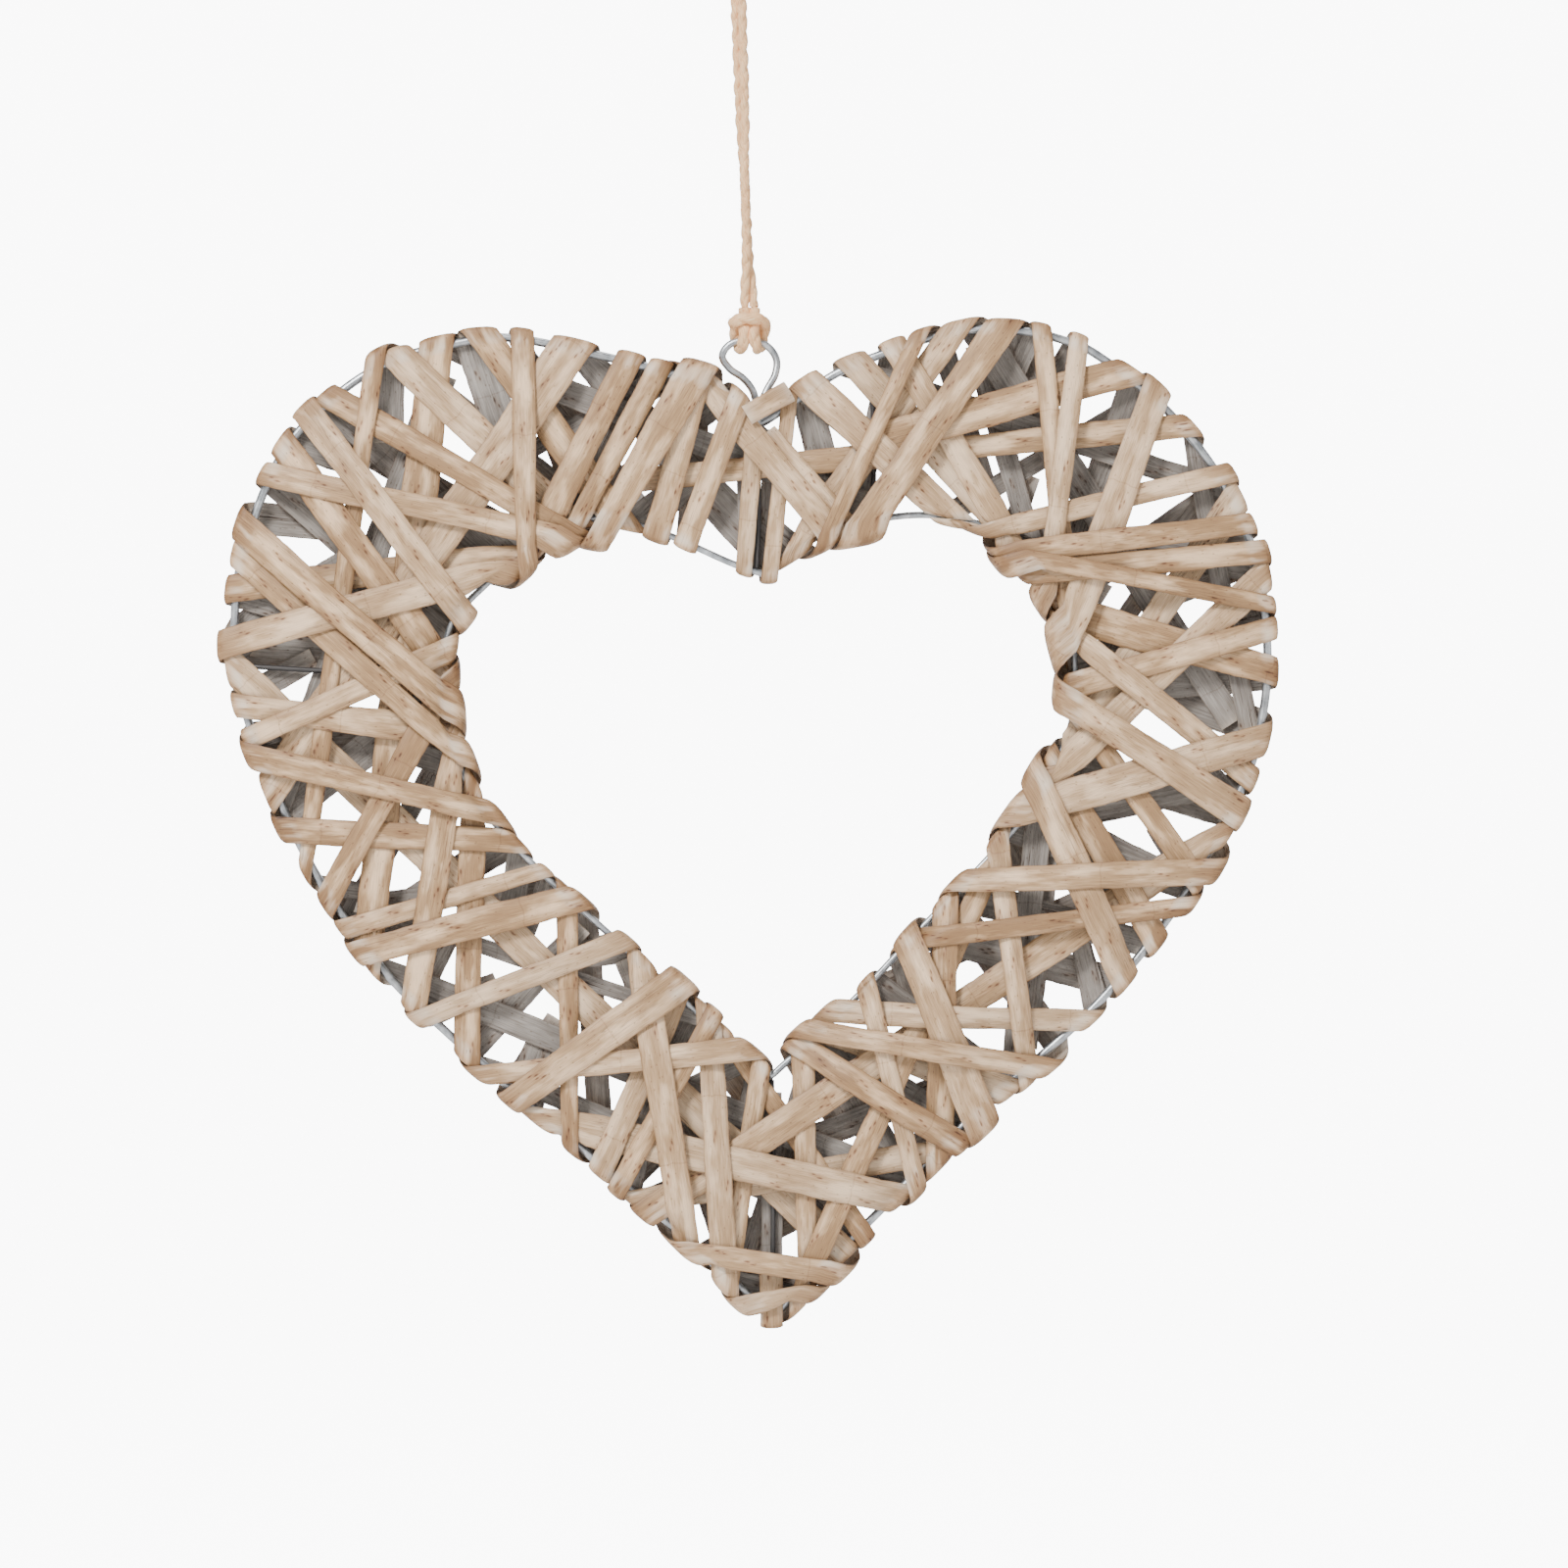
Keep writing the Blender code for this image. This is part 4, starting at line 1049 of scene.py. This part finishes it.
# The cross-section: a crowned outer face, then the flat inner face back again
CROWN = np.array((-1.0, -0.93, -0.78, -0.5, -0.18, 0.18, 0.5, 0.78, 0.93, 1.0))
FLAT = np.array((1.0, 0.55, 0.0, -0.55, -1.0))
SECTION = np.concatenate([CROWN, FLAT])
RING = len(SECTION)
CROWN_DROP, CROWN_POWER = 0.76, 3.8  # how far and how late the crown falls to the edges
HOLLOW = 0.00012  # how far the inner face is hollowed
FULLNESS = 1.06  # the middle's thickness, as a share of STRIP_THICKNESS
# Waverings of a strip's edges, roll and thickness: wavelength and share
EDGE_WAVES = ((0.09, 0.05), (0.022, 0.018), (0.006, 0.012))
ROLL_WAVES = ((0.07, 0.00012),)
THICKNESS_WAVES = ((0.05, 0.05),)
MAP_SCALE = 4.0  # units of the grain map in a metre
MAP_SHIFT = (0.377, 0.051)  # from strip to strip, so that no two have the same grain
END_LENGTH = 0.0025  # length of the paler cut end


def strip_mesh(name, rows, number):
    """The closed skin of a strip through its rows, with its grain map and its own attributes."""
    lefts, rights, normals, run_left, run_right, fold = (np.array(v) for v in zip(*rows))
    run = (run_left + run_right) / 2
    middle = (lefts + rights) / 2
    reach = (rights - lefts) / 2
    wide = np.linalg.norm(reach, axis=1)
    left_wave = 1 + wander(run, number * 11 + 1, EDGE_WAVES)
    right_wave = 1 + wander(run, number * 11 + 2, EDGE_WAVES)
    roll = wander(run, number * 11 + 3, ROLL_WAVES)
    thick = STRIP_THICKNESS * (FULLNESS + wander(run, number * 11 + 4, THICKNESS_WAVES))
    rings = []
    for k, v in enumerate(SECTION):
        widened = reach * np.where(v < 0, left_wave, right_wave)[:, None] * v
        if k < len(CROWN):
            lift = thick * (1.0 - CROWN_DROP * abs(v) ** CROWN_POWER) + roll * v
        else:
            lift = HOLLOW * (1 - v * v) + roll * v
        rings.append(middle + widened + normals * lift[:, None])
    grid = np.stack(rings, axis=1)
    count = len(rows)
    points = grid.reshape(-1, 3)
    start = np.arange(count - 1)[:, None] * RING
    k = np.arange(RING)[None, :]
    after = (k + 1) % RING
    quads = np.stack([start + k, start + after, start + RING + after, start + RING + k], axis=-1)
    faces = [tuple(q) for q in quads.reshape(-1, 4).tolist()]
    faces.append(tuple(range(RING - 1, -1, -1)))
    faces.append(tuple(range((count - 1) * RING, count * RING)))
    mesh = bpy.data.meshes.new(name)
    mesh.from_pydata(points.tolist(), [], faces)
    along = (run_left[:, None] * (1 - SECTION) + run_right[:, None] * (1 + SECTION)) / 2
    across = wide[:, None] * SECTION
    uv = np.stack([(along + number * MAP_SHIFT[0]) * MAP_SCALE,
                   (across + number * MAP_SHIFT[1]) * MAP_SCALE], axis=-1).reshape(-1, 2)
    corner = np.empty(len(mesh.loops), int)
    mesh.loops.foreach_get("vertex_index", corner)
    layer = mesh.uv_layers.new(name="grain")
    layer.data.foreach_set("uv", uv[corner].reshape(-1).astype(np.float32))
    from_end = np.minimum(along - along[0].min(), along[-1].max() - along)
    facts = {
        "strip_across": SECTION,
        "strip_inner": np.arange(RING) >= len(CROWN),
        "strip_fold": fold[:, None],
        "strip_end": np.exp(-np.maximum(from_end, 0) / END_LENGTH),
        "strip_tone": np.random.RandomState(number * 7 + 3).rand(),
    }
    for label, values in facts.items():
        values = np.broadcast_to(values, (count, RING)).astype(np.float32)
        mesh.attributes.new(label, "FLOAT", "POINT").data.foreach_set("value", values.reshape(-1))
    pairs = np.empty(len(mesh.edges) * 2, int)
    mesh.edges.foreach_get("vertices", pairs)
    row, column = np.divmod(pairs.reshape(-1, 2), RING)
    lengthwise = column[:, 0] == column[:, 1]
    at_corner = np.isin(column[:, 0], (0, len(CROWN) - 1, len(CROWN), RING - 1))
    at_end = (row[:, 0] == row[:, 1]) & np.isin(row[:, 0], (0, count - 1))
    mesh.shade_smooth()
    sharp = mesh.attributes.new("sharp_edge", "BOOLEAN", "EDGE")
    sharp.data.foreach_set("value", (lengthwise & at_corner) | at_end)
    return mesh


def grain_group():
    """Masks of split willow's grain, specks, bud scars, cracks and growth rings, from its map."""
    tree = bpy.data.node_groups.new("willow_grain", "ShaderNodeTree")
    tree.interface.new_socket("Grain Map", in_out="INPUT", socket_type="NodeSocketVector")
    given = tree.nodes.new("NodeGroupInput").outputs[0]
    parted = add_node(tree, "ShaderNodeSeparateXYZ", Vector=given).outputs
    along, across = (times(tree, parted[k], 1000 / MAP_SCALE) for k in (0, 1))

    def stretched(long, wide, shift=0.0):
        """The grain map in cells so many millimetres long and wide."""
        return combine(tree, math_node(tree, "DIVIDE", along, long),
                       math_node(tree, "DIVIDE", across, wide), shift)

    def grain(long, wide, shift, detail, roughness=0.5):
        return noise(tree, stretched(long, wide, shift), 1.0, detail, roughness)

    def line_at_half(value, near, far):
        """A thin line where the value passes one half."""
        away = math_node(tree, "ABSOLUTE", math_node(tree, "SUBTRACT", value, 0.5))
        return fade(tree, away, near, far, 1.0, 0.0)

    def dots(long, wide, shift, near, far, kept):
        """Dots in some of the cells, dark in the middle and fading out."""
        cell = add_node(tree, "ShaderNodeTexVoronoi", {"feature": "F1", "voronoi_dimensions": "2D"},
                        Vector=vector_node(tree, "ADD", stretched(long, wide), (*shift, 0.0)),
                        Scale=1.0, Randomness=1.0).outputs
        picked = add_node(tree, "ShaderNodeSeparateXYZ", Vector=cell["Color"]).outputs[0]
        blurred = plus(tree, cell["Distance"], times(tree, grain(1.6, 0.7, 0.0, 2.0), 0.08))
        return times(tree, fade(tree, blurred, near, far, 1.0, 0.0),
                     fade(tree, picked, kept, kept + 0.02))

    scars = math_node(tree, "MAXIMUM", dots(15.0, 5.6, (5.3, 1.2), 0.07, 0.14, 0.58),
                      dots(15.0, 5.6, (5.47, 1.37), 0.06, 0.12, 0.58))
    cracks = times(tree, line_at_half(grain(70.0, 2.2, 11.0, 2.0), 0.003, 0.012),
                   fade(tree, grain(40.0, 14.0, 5.0, 1.0), 0.56, 0.62))
    spaced = plus(tree, math_node(tree, "DIVIDE", along, 67.0),
                  times(tree, grain(1000.0, 5.0, 4.0, 1.0), 0.035))
    masks = {
        "Streaks": grain(30.0, 0.95, 0.0, 3.0),
        "Fibres": grain(7.0, 0.24, 3.0, 2.0),
        "Clouds": grain(26.0, 8.0, 7.0, 3.0, 0.55),
        "Specks": dots(4.6, 2.6, (3.1, 7.7), 0.07, 0.17, 0.66),
        "Scars": scars,
        "Halos": dots(15.0, 5.6, (5.38, 1.28), 0.08, 0.34, 0.58),
        "Cracks": cracks,
        "Rings": line_at_half(math_node(tree, "FRACT", spaced), 0.0015, 0.006),
    }
    for label in masks:
        tree.interface.new_socket(label, in_out="OUTPUT", socket_type="NodeSocketFloat")
    result = tree.nodes.new("NodeGroupOutput").inputs
    for label, mask in masks.items():
        tree.links.new(mask, result[label])
    return tree


def willow_material():
    made, tree, shader = new_material("split_willow")
    grain = tree.nodes.new("ShaderNodeGroup")
    grain.node_tree = grain_group()
    grain_map = add_node(tree, "ShaderNodeUVMap", {"uv_map": "grain"}).outputs[0]
    tree.links.new(grain_map, grain.inputs["Grain Map"])
    streaks, fibres, clouds, specks, scars, halos, cracks, rings = grain.outputs
    tone, inner, fold, end, across = (attribute(tree, "strip_" + fact)
                                      for fact in ("tone", "inner", "fold", "end", "across"))
    across = math_node(tree, "ABSOLUTE", across)

    def weigh(*masks):
        """The sum of the masks, each times its share."""
        return plus(tree, *(times(tree, mask, share) for mask, share in masks))

    # The outer face, from its unripe patches to a painted highlight along its crest
    ripe = plus(tree, weigh((clouds, 0.50), (streaks, 0.24), (fibres, 0.26), (tone, 0.20)), -0.10)
    outer_face = ramp(tree, ripe, (0.38, (0.37, 0.252, 0.152)), (0.47, (0.48, 0.342, 0.218)),
                      (0.55, (0.59, 0.440, 0.300)), (0.65, (0.76, 0.605, 0.450)))
    # Painted highlight: a pale colour mixed in over the middle of the crowned face, where light
    # falls on it, stronger in some patches
    painted_crest_highlight = times(tree, fade(tree, across, 0.35, 1.0, 1.0, 0.1),
                  fade(tree, clouds, 0.47, 0.64, 0.0, 0.85))
    strip_tones = ramp(tree, tone, (0.0, (0.90, 0.83, 0.75)), (0.3, (1.0, 0.96, 0.91)),
                       (0.7, (1.0, 0.99, 0.99)), (1.0, (0.90, 0.90, 0.91)))
    outer_face = mix_colour(tree, "MIX", painted_crest_highlight, outer_face, (1.0, 0.830, 0.660))
    outer_face = mix_colour(tree, "MULTIPLY", 1.0, outer_face, strip_tones)
    outer_face = mix_colour(tree, "MULTIPLY", 1.0, outer_face, (0.975, 0.870, 0.725))

    # The inner face, grey, and painted lighter and browner where it shows in the shade of a fold
    inner_face = ramp(tree, weigh((streaks, 0.35), (clouds, 0.5), (fibres, 0.15)),
                      (0.38, (0.165, 0.140, 0.12)), (0.50, (0.28, 0.245, 0.215)),
                      (0.62, (0.43, 0.39, 0.35)))
    # Painted light: a lighter brown mixed in over the inner face at the folds, where it lies in
    # shade
    inner_face = mix_colour(tree, "MIX", fade(tree, fold, 0.45, 0.75, 0.0, 0.8), inner_face,
                            (0.52, 0.43, 0.34))
    colour = mix_colour(tree, "MIX", inner, outer_face, inner_face)

    # What lies over both: dark fibres, painted shade along the edges and at the folds, pale
    # stretched skin and ends, blemishes
    # Painted shade: the colour darkened towards both edges of the strip, most in a thin line at the
    # very edge
    side = weigh((fade(tree, across, 0.62, 1.0), 0.16), (fade(tree, across, 0.92, 1.0), 0.62))
    # Painted shade: the colour darkened where the strip turns round a wire and just beside it, less
    # in some patches
    painted_fold_shade = times(tree, fade(tree, fold, 0.2, 1.0), fade(tree, clouds, 0.36, 0.60, 1.0, 0.55))
    skin = times(tree, times(tree, fade(tree, fold, 0.25, 0.50), fade(tree, fold, 0.80, 0.55)),
                 fade(tree, clouds, 0.47, 0.62))
    for blend, amount, shade in (
            ("MULTIPLY", fade(tree, fibres, 0.50, 0.34, 0.0, 0.45), (0.58, 0.485, 0.40)),
            ("MULTIPLY", side, (0.48, 0.40, 0.325)),
            ("MULTIPLY", painted_fold_shade, (0.60, 0.495, 0.395)),
            ("MIX", times(tree, skin, 0.55), (0.86, 0.76, 0.64)),
            ("MIX", times(tree, end, 0.5), (0.74, 0.62, 0.50)),
            ("MULTIPLY", times(tree, rings, 0.30), (0.45, 0.33, 0.25)),
            ("MULTIPLY", times(tree, specks, 0.60), (0.34, 0.24, 0.17)),
            ("MULTIPLY", times(tree, halos, 0.45), (0.62, 0.43, 0.29)),
            ("MULTIPLY", times(tree, scars, 0.85), (0.28, 0.19, 0.13)),
            ("MULTIPLY", times(tree, cracks, plus(tree, times(tree, inner, 0.5), 0.4)),
             (0.20, 0.14, 0.10))):
        colour = mix_colour(tree, blend, amount, colour, shade)
    relief = weigh((streaks, 0.8), (fibres, 0.5), (cracks, -1.4), (scars, -0.6), (rings, -0.35))
    finish(tree, shader, colour, relief, 0.45, 0.0002)
    tree.links.new(fade(tree, fibres, 0.3, 0.7, 0.44, 0.62), shader.inputs["Roughness"])
    set_inputs(shader, Specular_IOR_Level=0.42)
    return made


split_willow = willow_material()
for left, right, size in (("L", "R", OUTER_WIRE), ("l", "r", INNER_WIRE)):
    lay_wire(hoop_line(left, right), size / 2)
for outer, outer_share, inner, inner_share in TIE_PLACES.values():
    ends = np.array((on_hoop(outer, outer_share), on_hoop(inner, inner_share)))
    lay_wire(even(ends, TIE_STEP), TIE_WIRE / 2)
lay_wire(even(eye_line, LINE_STEP), EYE_WIRE / 2)
for half_name, line in HALVES.items():
    for k in range(0, len(line), 2):
        stop = Stop("%s%d" % (half_name, round(1000 * k / (len(line) - 1))))
        rim = stop.point + stop.out * WIRE_RADIUS[half_name]
        rims[hoop_of(half_name)].append((rim, stop.out))

for number, text in enumerate(WEAVE, 1):
    rows = lay_strip(*read_route(text))
    name = "willow_%02d" % number
    mesh = strip_mesh(name, rows, number)
    mesh.materials.append(split_willow)
    strip = add_object(name, mesh)
    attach(strip, "root")
    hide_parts("willow_strip_%02d" % number)
